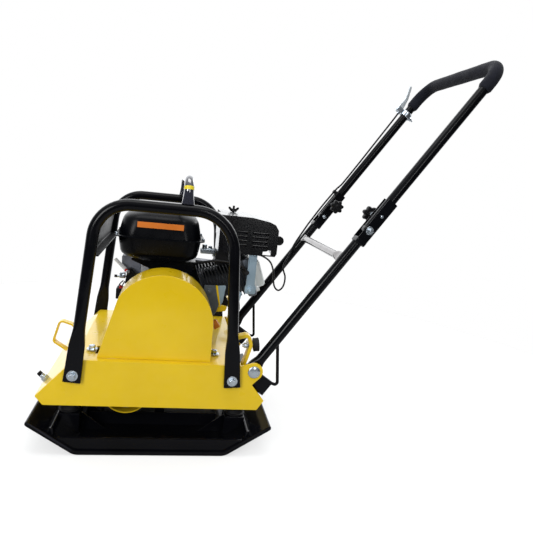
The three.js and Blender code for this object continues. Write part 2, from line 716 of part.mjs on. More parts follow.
function recoilGrip() {
  const bar = rodY(7, [92, 132], -18, 0, 12);
  const stem = rodX(5, [-18, -2], 112, 0, 12);
  const node = part('recoil_grip', join(bar, stem), BLACK_PLASTIC);
  node.position.set(-87, 0, 345);
  node.rotation.y = RECOIL_LEAN;
  return node;
}

function engineSwitch() {
  const body = cut(box([-112, -80.6], [-52, -22], [300, 326]), box([-108, -86], [-48, -26], [318, 330]));
  return part('engine_switch', body, BLACK_PLASTIC);
}

function switchRocker() {
  const rocker = plate([[-106, 321], [-97, 318.6], [-88, 321], [-89, 329], [-97, 326], [-105, 331]], [-47, -27]);
  return part('switch_rocker', rocker, RED_PLASTIC);
}

// ---------- handle ----------

function lowerArm(name, side) {
  const y = side * ARM_Y;
  const bar = rodX(HANDLE_TUBE, [8, 386], y, 0, 14);
  const boss = rodY(17, between(y - 10, y + 10));
  const lug = box([-37, 3], between(y - 4, y + 4), [-60, 0]);
  const channel = cut(
    box([378, 500], between(y - 17, y + 17), [-17, 15]),
    box([391, 505], between(y - 14, y + 14), [-13.5, 20]));
  const loop = tube([[-3, y, -50], [3, y, -74], [82, y, -8]], 4, 6, 8, 3);
  const holes = [
    rodY(8.5, between(y - 20, y + 20)),
    rodY(4.5, between(y - 30, y + 30), FOLD_AT, 0, 12),
    rodY(4.5, between(y - side * 30, y), LOCK_AT, 0, 12),
  ];
  return part(`lower_arm_${name}`, cut(join(bar, boss, lug, channel, loop), ...holes), BLACK_PAINT);
}

function crossTube() {
  const reach = ARM_Y - HANDLE_TUBE - GAP;
  const bar = rodY(10, [-reach, reach], CROSS_AT, 4, 16);
  return part('cross_tube', bar, CHROME);
}

function foldBolt(name, side) {
  const y = side * ARM_Y;
  const shank = rodY(4, between(y - 20, y + 20), FOLD_AT, 0, 12);
  const head = rodY(9, between(y + side * (17 + GAP), y + side * 23), FOLD_AT, 0, 6);
  const nut = rodY(7.5, between(y - side * (17 + GAP), y - side * 23), FOLD_AT, 0, 6);
  return part(`fold_bolt_${name}`, join(shank, head, nut), ZINC);
}

function upperTube() {
  const start = FOLD_AT;
  const corners = [
    [start, -ARM_Y, 0], [HANDLE_END, -ARM_Y, 0], [HANDLE_END, ARM_Y, 0], [start, ARM_Y, 0],
  ];
  let body = tube(corners, HANDLE_TUBE, HANDLE_CORNER, 12);
  for (const [, side] of SIDES) {
    const y = side * ARM_Y;
    body = join(body, rodY(HANDLE_TUBE, between(y - 8, y + 8), start, 0, 16));
    body = cut(body, rodY(4.5, between(y - 20, y + 20), start, 0, 12));
  }
  return part('upper_handle', body, BLACK_PAINT);
}

function foamGrip() {
  const path = (from) => [
    [from, -ARM_Y, 0], [HANDLE_END, -ARM_Y, 0], [HANDLE_END, ARM_Y, 0], [from, ARM_Y, 0],
  ];
  const outer = tube(path(FOAM_START), FOAM_RADIUS, HANDLE_CORNER, 12);
  const inner = tube(path(FOAM_START - 5), HANDLE_TUBE + GAP, HANDLE_CORNER, 12);
  return part('foam_grip', cut(outer, inner), FOAM);
}

function starKnob(name, side) {
  const outline = [];
  const lobes = 7;
  for (let i = 0; i < lobes * 4; i += 1) {
    const r = 17 + 3 * Math.cos(i * Math.PI / 2);
    const angle = i * 2 * Math.PI / (lobes * 4);
    outline.push([LOCK_AT + r * Math.cos(angle), r * Math.sin(angle)]);
  }
  const knob = plate(outline, between(side * 126, side * 142));
  const hub = rodY(9, between(side * 140, side * 150), LOCK_AT, 0, 14);
  const stud = rodY(4, between(side * 148, side * (ARM_Y - HANDLE_TUBE - 0.8)), LOCK_AT, 0, 12);
  return part(`star_knob_${name}`, join(knob, hub, stud), BLACK_PLASTIC);
}

function throttleClamp() {
  const ring = cut(
    rodX(HANDLE_TUBE + 4, [CLAMP_AT - 8, CLAMP_AT + 8], ARM_Y, 0, 16),
    rodX(HANDLE_TUBE + GAP, [CLAMP_AT - 20, CLAMP_AT + 20], ARM_Y, 0, 16));
  const post = box([CLAMP_AT - 7, CLAMP_AT + 7], [ARM_Y - 6, ARM_Y + 1], [14, 34]);
  const tail = box([CLAMP_AT - 3, CLAMP_AT + 3], [ARM_Y - 3, ARM_Y + 3], [-28, -14]);
  const stop = box([CLAMP_AT - 14, CLAMP_AT - 6], [ARM_Y - 6, ARM_Y + 1], [18, 26]);
  return part('throttle_clamp', join(ring, post, tail, stop), ZINC);
}

function throttleLever() {
  const pivot = CLAMP_AT;
  const outline = [
    [pivot - 7, 22], [pivot + 7, 20], [pivot + 40, 30], [pivot + 72, 43], [pivot + 70, 49], [pivot + 36, 38],
    [pivot, 36], [pivot - 7, 33],
  ];
  const blade = plate(outline, [ARM_Y + 1 + GAP, ARM_Y + 5]);
  const knob = rodY(8, [ARM_Y + 4, ARM_Y + 12], pivot, 28, 14);
  return part('throttle_lever', join(blade, knob), CHROME);
}

// ---------- throttle cable ----------

// Points along the far arm, in the handle's frame, given in the whole machine's.
function onArm(s, y, n) {
  const [c, d] = [Math.cos(ARM_ANGLE), Math.sin(ARM_ANGLE)];
  return [PIVOT.x + s * c - n * d, y, PIVOT.z + s * d + n * c];
}

const CABLE_RADIUS = 2.5;

function upperCable() {
  const points = [
    onArm(788.5, ARM_Y - 2, 22), onArm(770, ARM_Y - 2, 21), onArm(700, ARM_Y, 19), onArm(600, ARM_Y, 17),
    onArm(530, ARM_Y, 16.5), onArm(516, ARM_Y, 18),
  ];
  return part('cable_upper', cable(points, CABLE_RADIUS, 16), RUBBER);
}

function lowerCable() {
  const points = [
    onArm(515, ARM_Y, 18.2), onArm(500, ARM_Y, 20), onArm(440, ARM_Y, 21), onArm(370, ARM_Y - 4, 20),
    onArm(300, ARM_Y - 14, 16), onArm(262, ARM_Y - 20, 8), [342, 164, 374], [349, 156, 345], [345, 150, 319],
    [331, 144, 306.5], [317, 138, 317], [309, 128, 340], [303, 114, 368], [288, 96, 396], [262, 78, 413],
    [238, 68, 418], [216.5, 66, 418],
  ];
  return part('cable_lower', cable(points, CABLE_RADIUS, 34), RUBBER);
}

// ---------- assembly ----------

const machine = new THREE.Group();

machine.add(basePlate(), exciterHousing(), exciterCover(), eccentricShaft());
machine.add(pulley('exciter_pulley', EXCITER, EXCITER_PITCH, 46, 46, 12 + GAP, STEEL));
for (const [name, side] of SIDES) {
  machine.add(bearing(name, side));
  for (const [endName, end] of [['front', -1], ['rear', 1]]) {
    machine.add(shockMount(`${endName}_${name}`, end, side));
  }
}

machine.add(deckFrame(), frontGrip(), drainFitting(), beltGuard(), beltChute(), driveBelt());
machine.add(pulley('clutch_pulley', CRANK, CLUTCH_PITCH, 68, 58, 10 + GAP, STEEL));
for (const [name, side] of SIDES) {
  machine.add(rubberBumper(name, side), pivotBolt(name, side), hoop(name, side));
}
machine.add(liftingArch(), frontCrossPlate());

machine.add(crankcase(), crankshaft(), flywheel(), fuelTank(), fuelCap());
machine.add(mufflerGuard(), muffler(), mufflerStay(), airCleanerBase(), filterElement());
machine.add(airCleanerCover(), wingNut(), carburettor(), chokeLever());
machine.add(fanHousing(), recoilCover(), recoilGrip(), engineSwitch(), switchRocker());

const leaning = new THREE.Group();
leaning.position.set(CRANK.x, 0, CRANK.z);
leaning.rotation.y = -CYLINDER_LEAN;
leaning.add(cylinder(), rockerCover());
machine.add(leaning);

const handle = new THREE.Group();
handle.position.set(PIVOT.x, 0, PIVOT.z);
handle.rotation.y = -ARM_ANGLE;
handle.add(crossTube(), upperTube(), foamGrip(), throttleClamp(), throttleLever());
for (const [name, side] of SIDES) {
  handle.add(lowerArm(name, side), foldBolt(name, side), starKnob(name, side));
}
machine.add(handle, upperCable(), lowerCable());

export default machine;
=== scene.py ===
import math

import bmesh
import bpy
from mathutils import Matrix, Vector


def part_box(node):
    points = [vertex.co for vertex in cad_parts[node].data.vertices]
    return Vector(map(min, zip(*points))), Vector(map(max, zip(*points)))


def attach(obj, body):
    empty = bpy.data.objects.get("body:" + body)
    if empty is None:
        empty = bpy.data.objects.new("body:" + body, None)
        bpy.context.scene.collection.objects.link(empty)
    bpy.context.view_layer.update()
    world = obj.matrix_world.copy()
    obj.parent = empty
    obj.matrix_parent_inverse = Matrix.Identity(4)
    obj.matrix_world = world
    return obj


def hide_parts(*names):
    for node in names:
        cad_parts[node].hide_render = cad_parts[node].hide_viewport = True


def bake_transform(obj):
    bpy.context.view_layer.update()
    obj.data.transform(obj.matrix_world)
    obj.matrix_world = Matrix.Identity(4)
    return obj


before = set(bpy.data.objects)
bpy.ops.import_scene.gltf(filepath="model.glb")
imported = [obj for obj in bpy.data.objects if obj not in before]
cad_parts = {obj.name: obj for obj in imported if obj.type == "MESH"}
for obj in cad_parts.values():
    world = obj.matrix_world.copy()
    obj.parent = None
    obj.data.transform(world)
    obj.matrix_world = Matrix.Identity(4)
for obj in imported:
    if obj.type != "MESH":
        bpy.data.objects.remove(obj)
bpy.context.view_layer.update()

# Lengths below are millimetres; every mesh is brought to metres as it is made.
MM = 0.001
DEG = math.pi / 180


def placed(place, angle, axis="Y"):
    """A place in the machine, turned about one of its axes by an angle in degrees."""
    return Matrix.Translation(place) @ Matrix.Rotation(angle * DEG, 4, axis)


# ---------- driving dimensions, as in the CAD model ----------

CRANK = (3, 302)                 # x, z of the crankshaft
EXCITER = (-66, 112)             # x, z of the exciter shaft
BELT_Y = -140
PIVOT = (217, 187)               # x, z of the handle pivot
ARM_ANGLE = 55.93
ARM_Y = 190
FOLD_AT, LOCK_AT, CROSS_AT, CLAMP_AT = 416, 457, 330, 803
HANDLE_END, HANDLE_BEND, HANDLE_TUBE = 905, 55, 12
FOAM_START, FOAM_RADIUS = 828, 16
CYLINDER_LEAN = 20
HOOP_Y, HOOP_TOP, HOOP_BENDS, CAGE_TUBE = 218, 541, (75, 88), 12.5
HOOP_FRONT, HOOP_REAR = (-176.5, -0.085), (167.5, 0.075)    # x at the bolt, and how far it leans
HOOP_BOLT_Z, HOOP_LOW = 167.5, 152
ARCH_X, ARCH_TOP, ARCH_BEND, ARCH_TUBE = 38, 605, 45, 10.5
PANEL_OUT, SHEET, EAR_Y = 212, 6, 186
DECK_LOW, DECK_TOP, DECK_REAR = 96, 200, 188
GUARD_X, GUARD_Z, GUARD_R = 3, 279, 114
GUARD_LOW = ENGINE_LOW = DECK_TOP + 0.3
TANK_X, TANK_Y, TANK_HALF_X, TANK_HALF_Y = -16, 5, 100, 89
TANK_SEAM, TANK_FLANGE, TANK_CORNER = 457, 7.5, 42
FILLER = (-12, 10)               # x, y of the tank's filler
NUT_X, NUT_Y = 167, 57           # the air cleaner's wing nut
SIDES = (("near", -1), ("far", 1))

# The handle's frame has x along the arm and z square to it; the cylinder's has x along the bore.
HANDLE = placed((PIVOT[0], 0, PIVOT[1]), -ARM_ANGLE)
LEAN = placed((CRANK[0], 0, CRANK[1]), -CYLINDER_LEAN)
# Turns a plate's thickness from Y to X, and its outline from (x, z) to (y, z).
ACROSS = Matrix(((0, 1, 0, 0), (1, 0, 0, 0), (0, 0, 1, 0), (0, 0, 0, 1)))


# ---------- materials ----------

class Nodes:
    """A short way to lay out one material's nodes."""

    def __init__(self, name):
        self.material = bpy.data.materials.new(name)
        self.material.use_nodes = True
        self.tree = self.material.node_tree
        self.shader = self.tree.nodes["Principled BSDF"]
        self.position = self.add("ShaderNodeTexCoord").outputs["Object"]

    def add(self, kind, **values):
        node = self.tree.nodes.new(kind)
        for key, value in values.items():
            if hasattr(node, key):
                setattr(node, key, value)
            else:
                node.inputs[key.replace("_", " ")].default_value = value
        return node

    def link(self, output, socket):
        self.tree.links.new(output, socket)

    def set(self, **values):
        for key, value in values.items():
            self.shader.inputs[key.replace("_", " ")].default_value = value

    def noise(self, scale, detail, stretch=None):
        node = self.add("ShaderNodeTexNoise", Scale=scale, Detail=detail, Roughness=0.55)
        source = self.position
        if stretch:
            mapping = self.add("ShaderNodeMapping", Scale=stretch)
            self.link(source, mapping.inputs["Vector"])
            source = mapping.outputs["Vector"]
        self.link(source, node.inputs["Vector"])
        return node.outputs["Fac"]

    def tone(self, scale, detail, low, high, start=0.3):
        """Patches of two colours that fade into each other."""
        node = self.add("ShaderNodeValToRGB")
        for end, at, colour in zip(node.color_ramp.elements, (start, 1 - start), (low, high)):
            end.position = at
            end.color = (*colour, 1)
        self.link(self.noise(scale, detail), node.inputs["Fac"])
        return node.outputs["Color"]

    def spread(self, value, low, high):
        node = self.add("ShaderNodeMapRange", From_Min=0.3, From_Max=0.7, To_Min=low, To_Max=high)
        self.link(value, node.inputs["Value"])
        return node.outputs["Result"]

    def colour(self, output):
        self.link(output, self.shader.inputs["Base Color"])

    def rough(self, scale, detail, low, high, stretch=None):
        self.link(self.spread(self.noise(scale, detail, stretch), low, high), self.shader.inputs["Roughness"])

    def bump(self, *layers):
        """Layers of (height, strength, distance), each on top of the one before."""
        normal = None
        for height, strength, distance in layers:
            node = self.add("ShaderNodeBump", Strength=strength, Distance=distance)
            self.link(height, node.inputs["Height"])
            if normal is not None:
                self.link(normal, node.inputs["Normal"])
            normal = node.outputs["Normal"]
        self.link(normal, self.shader.inputs["Normal"])

    def edges(self, low=0.52, high=0.58):
        """About 1 on convex edges and 0 on flat faces: the mask for paler colour painted on edges as
        highlights.
        """
        geometry = self.add("ShaderNodeNewGeometry")
        node = self.add("ShaderNodeMapRange", From_Min=low, From_Max=high)
        self.link(geometry.outputs["Pointiness"], node.inputs["Value"])
        return node.outputs["Result"]

    def mix(self, factor, a, b):
        node = self.add("ShaderNodeMix", data_type="RGBA")
        self.link(factor, node.inputs["Factor"])
        for value, socket in ((a, node.inputs["A"]), (b, node.inputs["B"])):
            if isinstance(value, tuple):
                socket.default_value = (*value, 1)
            else:
                self.link(value, socket)
        return node.outputs["Result"]


def yellow_paint(name):
    n = Nodes(name)
    tone = n.tone(7, 4, (0.69, 0.46, 0.002), (0.76, 0.52, 0.004))
    dust = n.mix(n.spread(n.noise(55, 6), 0.0, 0.05), tone, (0.78, 0.60, 0.16))
    # Convex edges are painted a brighter yellow: a painted highlight.
    n.colour(n.mix(n.edges(0.56, 0.66), dust, (0.82, 0.58, 0.05)))
    n.rough(30, 5, 0.26, 0.40)
    n.bump((n.noise(28, 3), 0.03, 0.004))
    n.set(Coat_Weight=0.5, Coat_Roughness=0.09, Coat_IOR=1.5, Specular_IOR_Level=0.2)
    return n.material


def black_paint(name):
    n = Nodes(name)
    tone = n.tone(9, 4, (0.0012, 0.0013, 0.0020), (0.0026, 0.0028, 0.0042))
    # Convex edges are painted a paler blue-black: a painted highlight.
    n.colour(n.mix(n.edges(0.56, 0.68), tone, (0.012, 0.0125, 0.017)))
    n.rough(36, 4, 0.14, 0.22)
    n.bump((n.noise(35, 3), 0.04, 0.003))
    n.set(Specular_IOR_Level=0.14)
    return n.material


def arch_paint(name):
    n = Nodes(name)
    n.colour(n.tone(12, 3, (0.006, 0.007, 0.016), (0.012, 0.013, 0.028)))
    n.rough(40, 4, 0.06, 0.14)
    n.bump((n.noise(200, 2), 0.04, 0.0006), (n.noise(30, 2), 0.03, 0.002))
    n.set(Coat_Weight=1.0, Coat_Roughness=0.04, Coat_IOR=2.3)
    return n.material


def black_sheet(name):
    n = Nodes(name)
    n.colour(n.tone(18, 4, (0.0016, 0.0017, 0.0024), (0.0034, 0.0036, 0.0048)))
    n.rough(40, 3, 0.20, 0.30)
    n.bump((n.noise(26, 3), 0.05, 0.003))
    n.set(Specular_IOR_Level=0.18, Coat_Weight=0.4, Coat_Roughness=0.12, Coat_IOR=1.5)
    return n.material


def rubber(name):
    n = Nodes(name)
    n.colour(n.tone(40, 4, (0.004, 0.004, 0.005), (0.009, 0.009, 0.010)))
    n.rough(60, 4, 0.55, 0.72)
    n.bump((n.noise(300, 2), 0.06, 0.0004), (n.noise(60, 3), 0.06, 0.001))
    n.set(Specular_IOR_Level=0.25)
    return n.material


def cast_alloy(name):
    n = Nodes(name)
    tone = n.tone(45, 6, (0.22, 0.225, 0.235), (0.42, 0.43, 0.45), 0.25)
    # Convex edges are painted paler: a painted highlight.
    n.colour(n.mix(n.edges(), tone, (0.62, 0.63, 0.65)))
    n.rough(60, 4, 0.42, 0.58)
    n.bump((n.noise(240, 3), 0.10, 0.0006), (n.noise(60, 3), 0.08, 0.001))
    n.set(Metallic=0.9)
    return n.material


def dark_fins(name):
    n = Nodes(name)
    tone = n.tone(30, 4, (0.006, 0.0065, 0.008), (0.016, 0.017, 0.021), 0.25)
    # The fins' edges are painted a light blue-grey: painted highlights.
    n.colour(n.mix(n.edges(), tone, (0.13, 0.145, 0.17)))
    n.rough(50, 4, 0.34, 0.48)
    n.bump((n.noise(120, 2), 0.05, 0.0005))
    n.set(Metallic=0.3, Specular_IOR_Level=0.3)
    return n.material


def moulded(name, low, high, rough=(0.38, 0.52), level=0.3):
    """Moulded plastic or film: its two tones, roughness and specular level."""
    n = Nodes(name)
    # Convex edges get a paler colour: a painted highlight.
    edge_highlight = tuple(min(1, c * 2.0 + 0.004) for c in high)
    n.colour(n.mix(n.edges(0.55, 0.68), n.tone(14, 4, low, high), edge_highlight))
    n.rough(45, 4, *rough)
    n.bump((n.noise(260, 2), 0.03, 0.0004), (n.noise(24, 2), 0.04, 0.002))
    n.set(Specular_IOR_Level=level)
    return n.material


def metal(name, low, high, rough, bumpiness, stretch=None):
    """Bare or zinc-plated metal; stretch draws its grain out along an axis."""
    n = Nodes(name)
    n.colour(n.tone(26, 5, low, high))
    n.rough(45, 3, *rough, stretch)
    n.bump((n.noise(67.5, 2, stretch), bumpiness, 0.0006))
    n.set(Metallic=1.0)
    return n.material


def plated(name, low, high, metallic):
    """Plated sheet that also scatters light, with pale highlights painted on its edges."""
    n = Nodes(name)
    # Convex edges get a paler colour: a painted highlight.
    edge_highlight = tuple(min(1, c * 1.5) for c in high)
    n.colour(n.mix(n.edges(0.54, 0.62), n.tone(24, 3, low, high), edge_highlight))
    n.rough(40, 3, 0.30, 0.42)
    n.bump((n.noise(50, 2), 0.02, 0.0006))
    n.set(Metallic=metallic)
    return n.material


def foam(name, low, high, cells):
    """Closed foam with fine pores; cells is how many fit in a metre."""
    n = Nodes(name)
    n.colour(n.tone(90, 6, low, high))
    n.rough(50, 4, 0.78, 0.95)
    pores = n.add("ShaderNodeTexVoronoi", Scale=cells)
    n.link(n.position, pores.inputs["Vector"])
    n.bump((pores.outputs["Distance"], 0.45, 0.0007), (n.noise(70, 4), 0.10, 0.002))
    n.set(Sheen_Weight=0.06, Sheen_Roughness=0.4, Specular_IOR_Level=0.3)
    return n.material


# Each finish: the function that makes it and what that function takes after the name.
FINISHES = {
    "yellow_paint": (yellow_paint,),
    "black_paint": (black_paint,),
    "arch_paint": (arch_paint,),
    "black_sheet": (black_sheet,),
    "rubber": (rubber,),
    "cast_alloy": (cast_alloy,),
    "dark_fins": (dark_fins,),
    "black_plastic": (moulded, (0.0015, 0.0015, 0.002), (0.0035, 0.0035, 0.0045), (0.38, 0.52), 0.18),
    "tank_plastic": (moulded, (0.0008, 0.0010, 0.0018), (0.0016, 0.0020, 0.0034), (0.24, 0.34), 0.12),
    "matt_black": (moulded, (0.0015, 0.0015, 0.002), (0.0035, 0.0035, 0.005), (0.4, 0.5), 0.1),
    "cable_sheath": (moulded, (0.006, 0.006, 0.007), (0.013, 0.013, 0.015), (0.35, 0.5), 0.2),
    "grey_plastic": (moulded, (0.15, 0.16, 0.19), (0.21, 0.22, 0.26)),
    "red_plastic": (moulded, (0.40, 0.012, 0.008), (0.52, 0.03, 0.02), (0.22, 0.32)),
    "amber_plastic": (moulded, (0.42, 0.12, 0.01), (0.55, 0.18, 0.02), (0.3, 0.4)),
    "clear_white": (moulded, (0.55, 0.55, 0.54), (0.70, 0.70, 0.68), (0.3, 0.4)),
    "orange_film": (moulded, (0.55, 0.13, 0.01), (0.62, 0.16, 0.015), (0.3, 0.4)),
    "yellow_film": (moulded, (0.68, 0.52, 0.02), (0.76, 0.60, 0.03), (0.25, 0.35)),
    "zinc": (metal, (0.42, 0.48, 0.54), (0.58, 0.64, 0.70), (0.22, 0.30), 0.02),
    "bright_zinc": (metal, (0.66, 0.72, 0.76), (0.80, 0.85, 0.88), (0.38, 0.48), 0.02),
    "chrome": (metal, (0.17, 0.16, 0.16), (0.25, 0.24, 0.24), (0.08, 0.16), 0.01, (1, 0.03, 1)),
    "steel": (metal, (0.26, 0.27, 0.29), (0.40, 0.41, 0.44), (0.28, 0.42), 0.04),
    "dark_steel": (metal, (0.010, 0.010, 0.012), (0.022, 0.022, 0.026), (0.40, 0.55), 0.04),
    "blue_zinc": (plated, (0.24, 0.33, 0.40), (0.34, 0.45, 0.53), 0.7),
    # The valve cover's near-white, faintly green colour is painted light: a bright reflection painted on a
    # part that sits in shade.
    "bright_cover": (plated, (0.78, 0.84, 0.82), (0.88, 0.92, 0.90), 0.15),
    "steel_plate": (plated, (0.06, 0.075, 0.09), (0.12, 0.14, 0.16), 0.5),
    "filter_foam": (foam, (0.02, 0.02, 0.022), (0.05, 0.05, 0.055), 900),
    "grip_foam": (foam, (0.0015, 0.002, 0.006), (0.004, 0.005, 0.012), 420),
}
MATERIALS = {name: make(name, *values) for name, (make, *values) in FINISHES.items()}


# ---------- mesh building ----------

AXES = {
    "X": Matrix(((0, 0, 1, 0), (1, 0, 0, 0), (0, 1, 0, 0), (0, 0, 0, 1))),
    "Y": Matrix(((0, 1, 0, 0), (0, 0, 1, 0), (1, 0, 0, 0), (0, 0, 0, 1))),
    "Z": Matrix(),
}


def arc(cx, cz, r, start, stop, steps):
    angles = [(start + (stop - start) * i / steps) * DEG for i in range(steps + 1)]
    return [(cx + r * math.cos(a), cz + r * math.sin(a)) for a in angles]


def rounded(outline, radius, steps=4, closed=True):
    """The outline with each corner turned into an arc. radius is one number or one per corner."""
    count = len(outline)
    made = []
    for i, corner in enumerate(outline):
        r = radius[i] if isinstance(radius, (list, tuple)) else radius
        here = Vector(corner)
        if r <= 0 or (not closed and i in (0, count - 1)):
            made.append(here)
            continue
        back = Vector(outline[i - 1]) - here
        on = Vector(outline[(i + 1) % count]) - here
        limit = 0.48 * min(back.length, on.length)
        back.normalize()
        on.normalize()
        half = back.angle(on) / 2
        run = min(r / math.tan(half), limit) if half > 1e-3 else 0
        r = run * math.tan(half)
        centre = here + (back + on).normalized() * (r / math.sin(half))
        start = here + back * run - centre
        end = here + on * run - centre
        sweep = start.angle(end)
        for k in range(steps + 1):
            t = k / steps
            if sweep < 1e-4:
                made.append(here)
                break
            mixed = (start * math.sin((1 - t) * sweep) + end * math.sin(t * sweep)) / math.sin(sweep)
            made.append(centre + mixed)
    return made


def divided(line, step):
    """The line with more points, each stretch cut into equal parts no shorter than one step."""
    made = []
    for a, b in zip(line, line[1:]):
        count = max(1, int((b - a).length // step))
        made += [a.lerp(b, k / count) for k in range(count)]
    return [*made, line[-1]]


def smooth_route(points, steps):
    """A Catmull-Rom curve through the points, at even parameter steps."""
    p = [Vector(x) for x in points]
    p = [2 * p[0] - p[1], *p, 2 * p[-1] - p[-2]]
    made = []
    for i in range(1, len(p) - 2):
        for k in range(steps):
            t = k / steps
            made.append(0.5 * (2 * p[i] + (p[i + 1] - p[i - 1]) * t
                               + (2 * p[i - 1] - 5 * p[i] + 4 * p[i + 1] - p[i + 2]) * t * t
                               + (3 * p[i] - p[i - 1] - 3 * p[i + 1] + p[i + 2]) * t ** 3))
    return [*made, p[-2]]


def clamped(value):
    return min(max(value, 0), 1)


def ease(value):
    """0 below 0, 1 above 1 and a smooth step between them."""
    value = clamped(value)
    return value * value * (3 - 2 * value)


def even(half_width, half_height, power=2):
    """The same section all along a sweep; power 2 is round and more is squarer."""
    return lambda t: (half_width, half_height, power)


def skin(rows, ring=False):
    """A closed surface over loops of points: capped at both ends, or joined end to end as a ring."""
    bm = bmesh.new()
    loops = [[bm.verts.new(p) for p in row] for row in rows]
    for a, b in zip(loops, loops[1:] + loops[:1] if ring else loops[1:]):
        for k in range(len(a)):
            j = (k + 1) % len(a)
            bm.faces.new((a[k], a[j], b[j], b[k]))
    if not ring:
        bm.faces.new(list(reversed(loops[0])))
        bm.faces.new(loops[-1])
    return bm


class Shape:
    """Closed primitives gathered in one mesh. at places all of them."""

    def __init__(self, at=None):
        self.mesh = bmesh.new()
        self.at = at or Matrix()

    def take(self, bm, bevel=0.0, segments=2, angle=30, at=None):
        bmesh.ops.recalc_face_normals(bm, faces=bm.faces)
        if bevel:
            sharp = [e for e in bm.edges if len(e.link_faces) == 2 and e.calc_face_angle(0) > angle * DEG]
            bmesh.ops.bevel(bm, geom=sharp, offset=bevel, segments=segments, profile=0.5,
                            affect="EDGES", clamp_overlap=True)
        bm.transform(self.at @ (at or Matrix()))
        scratch = bpy.data.meshes.new("scratch")
        bm.to_mesh(scratch)
        bm.free()
        self.mesh.from_mesh(scratch)
        bpy.data.meshes.remove(scratch)
        return self

    def box(self, x, y, z, bevel=1.0, segments=2):
        bm = bmesh.new()
        bmesh.ops.create_cube(bm, size=1)
        size = (x[1] - x[0], y[1] - y[0], z[1] - z[0])
        middle = ((x[0] + x[1]) / 2, (y[0] + y[1]) / 2, (z[0] + z[1]) / 2)
        bm.transform(Matrix.Translation(middle) @ Matrix.Diagonal((*size, 1)))
        return self.take(bm, bevel, segments)

    def plate(self, outline, y, bevel=1.0, at=None, segments=2):
        """An outline of (x, z) points with thickness along Y."""
        bm = bmesh.new()
        low, high = [[bm.verts.new((p[0], side, p[1])) for p in outline] for side in y]
        bm.faces.new(low)
        bm.faces.new(list(reversed(high)))
        for i in range(len(low)):
            k = (i + 1) % len(low)
            bm.faces.new((low[i], high[i], high[k], low[k]))
        return self.take(bm, bevel, segments, at=at)

    def band(self, line, thick, y, bevel=0.6):
        """A strip of sheet that follows an open (x, z) line, thick inwards to its left."""
        points = [Vector(p) for p in line]
        inner = []
        for i, p in enumerate(points):
            before = p - points[max(i - 1, 0)]
            after = points[min(i + 1, len(points) - 1)] - p
            way = (before.normalized() + after.normalized()).normalized()
            inner.append(p + Vector((-way.y, way.x)) * thick)
        return self.plate([*points, *reversed(inner)], y, bevel)

    def turned(self, profile, axis="Z", centre=(0, 0, 0), sides=32, at=None, bevel=0.0, angle=30, turn=0.0):
        """A profile of (radius, height) points turned about an axis through centre."""
        bm = bmesh.new()
        steps = [k * math.tau / sides for k in range(sides)]
        rings = []
        for r, h in profile:
            loop = [(r * math.cos(a), r * math.sin(a), h) for a in steps] if r > 1e-6 else [(0, 0, h)]
            rings.append([bm.verts.new(p) for p in loop])
        pairs = list(zip(rings, rings[1:]))
        if profile[0][0] > 0 and profile[-1][0] > 0:
            pairs.append((rings[-1], rings[0]))
        for a, b in pairs:
            for k in range(sides):
                corner = [a[k % len(a)], a[(k + 1) % len(a)], b[(k + 1) % len(b)], b[k % len(b)]]
                face = list(dict.fromkeys(corner))
                if len(face) > 2:
                    bm.faces.new(face)
        place = Matrix.Translation(centre) @ AXES[axis] @ Matrix.Rotation(turn * DEG, 4, "Z")
        return self.take(bm, bevel, 2, angle, (at or Matrix()) @ place)

    def rod(self, radius, span, axis="Y", centre=(0, 0, 0), sides=28, bevel=0.8, at=None):
        low, high = span
        b = min(bevel, radius * 0.4, (high - low) * 0.4)
        profile = [(0, low), (radius - b, low), (radius - 0.3 * b, low + 0.3 * b), (radius, low + b),
                   (radius, high - b), (radius - 0.3 * b, high - 0.3 * b), (radius - b, high), (0, high)]
        return self.turned(profile, axis, centre, sides, at)

    def ring(self, outer, inner, span, axis="Y", centre=(0, 0, 0), sides=32, bevel=0.6):
        low, high = span
        b = min(bevel, (outer - inner) * 0.3, (high - low) * 0.3)
        profile = [(inner, low + b), (inner + b, low), (outer - b, low), (outer, low + b),
                   (outer, high - b), (outer - b, high), (inner + b, high), (inner, high - b)]
        return self.turned(profile, axis, centre, sides)

    def hexagon(self, across, span, axis="Y", centre=(0, 0, 0), at=None, turn=0.0):
        low, high = span
        r = across / math.sqrt(3)
        profile = [(0, low), (r, low), (r, high - 0.06 * across), (r * 0.88, high), (0, high)]
        return self.turned(profile, axis, centre, 6, at, 0.4, 20, turn)

    def bolt(self, across, centre, way, axis="Y", washer=True, turn=12):
        """A hex head with its washer; way is +1 or -1 along the axis, away from what it holds."""
        thick = 0.12 * across
        high = 0.62 * across
        if washer:
            self.ring(0.95 * across, 0.2 * across, sorted((0, way * thick)), axis, centre, 28, 0.3)
        start = thick if washer else 0
        flip = Matrix() if way > 0 else Matrix.Rotation(math.pi, 4, "X")
        place = Matrix.Translation(centre) @ AXES[axis] @ flip
        self.hexagon(across, (start, start + high), "Z", at=place, turn=turn)
        r, top = 0.3 * across, start + high
        return self.turned([(0, start), (r, start), (r, top + 0.5), (0, top + 0.8)], "Z", sides=16, at=place)

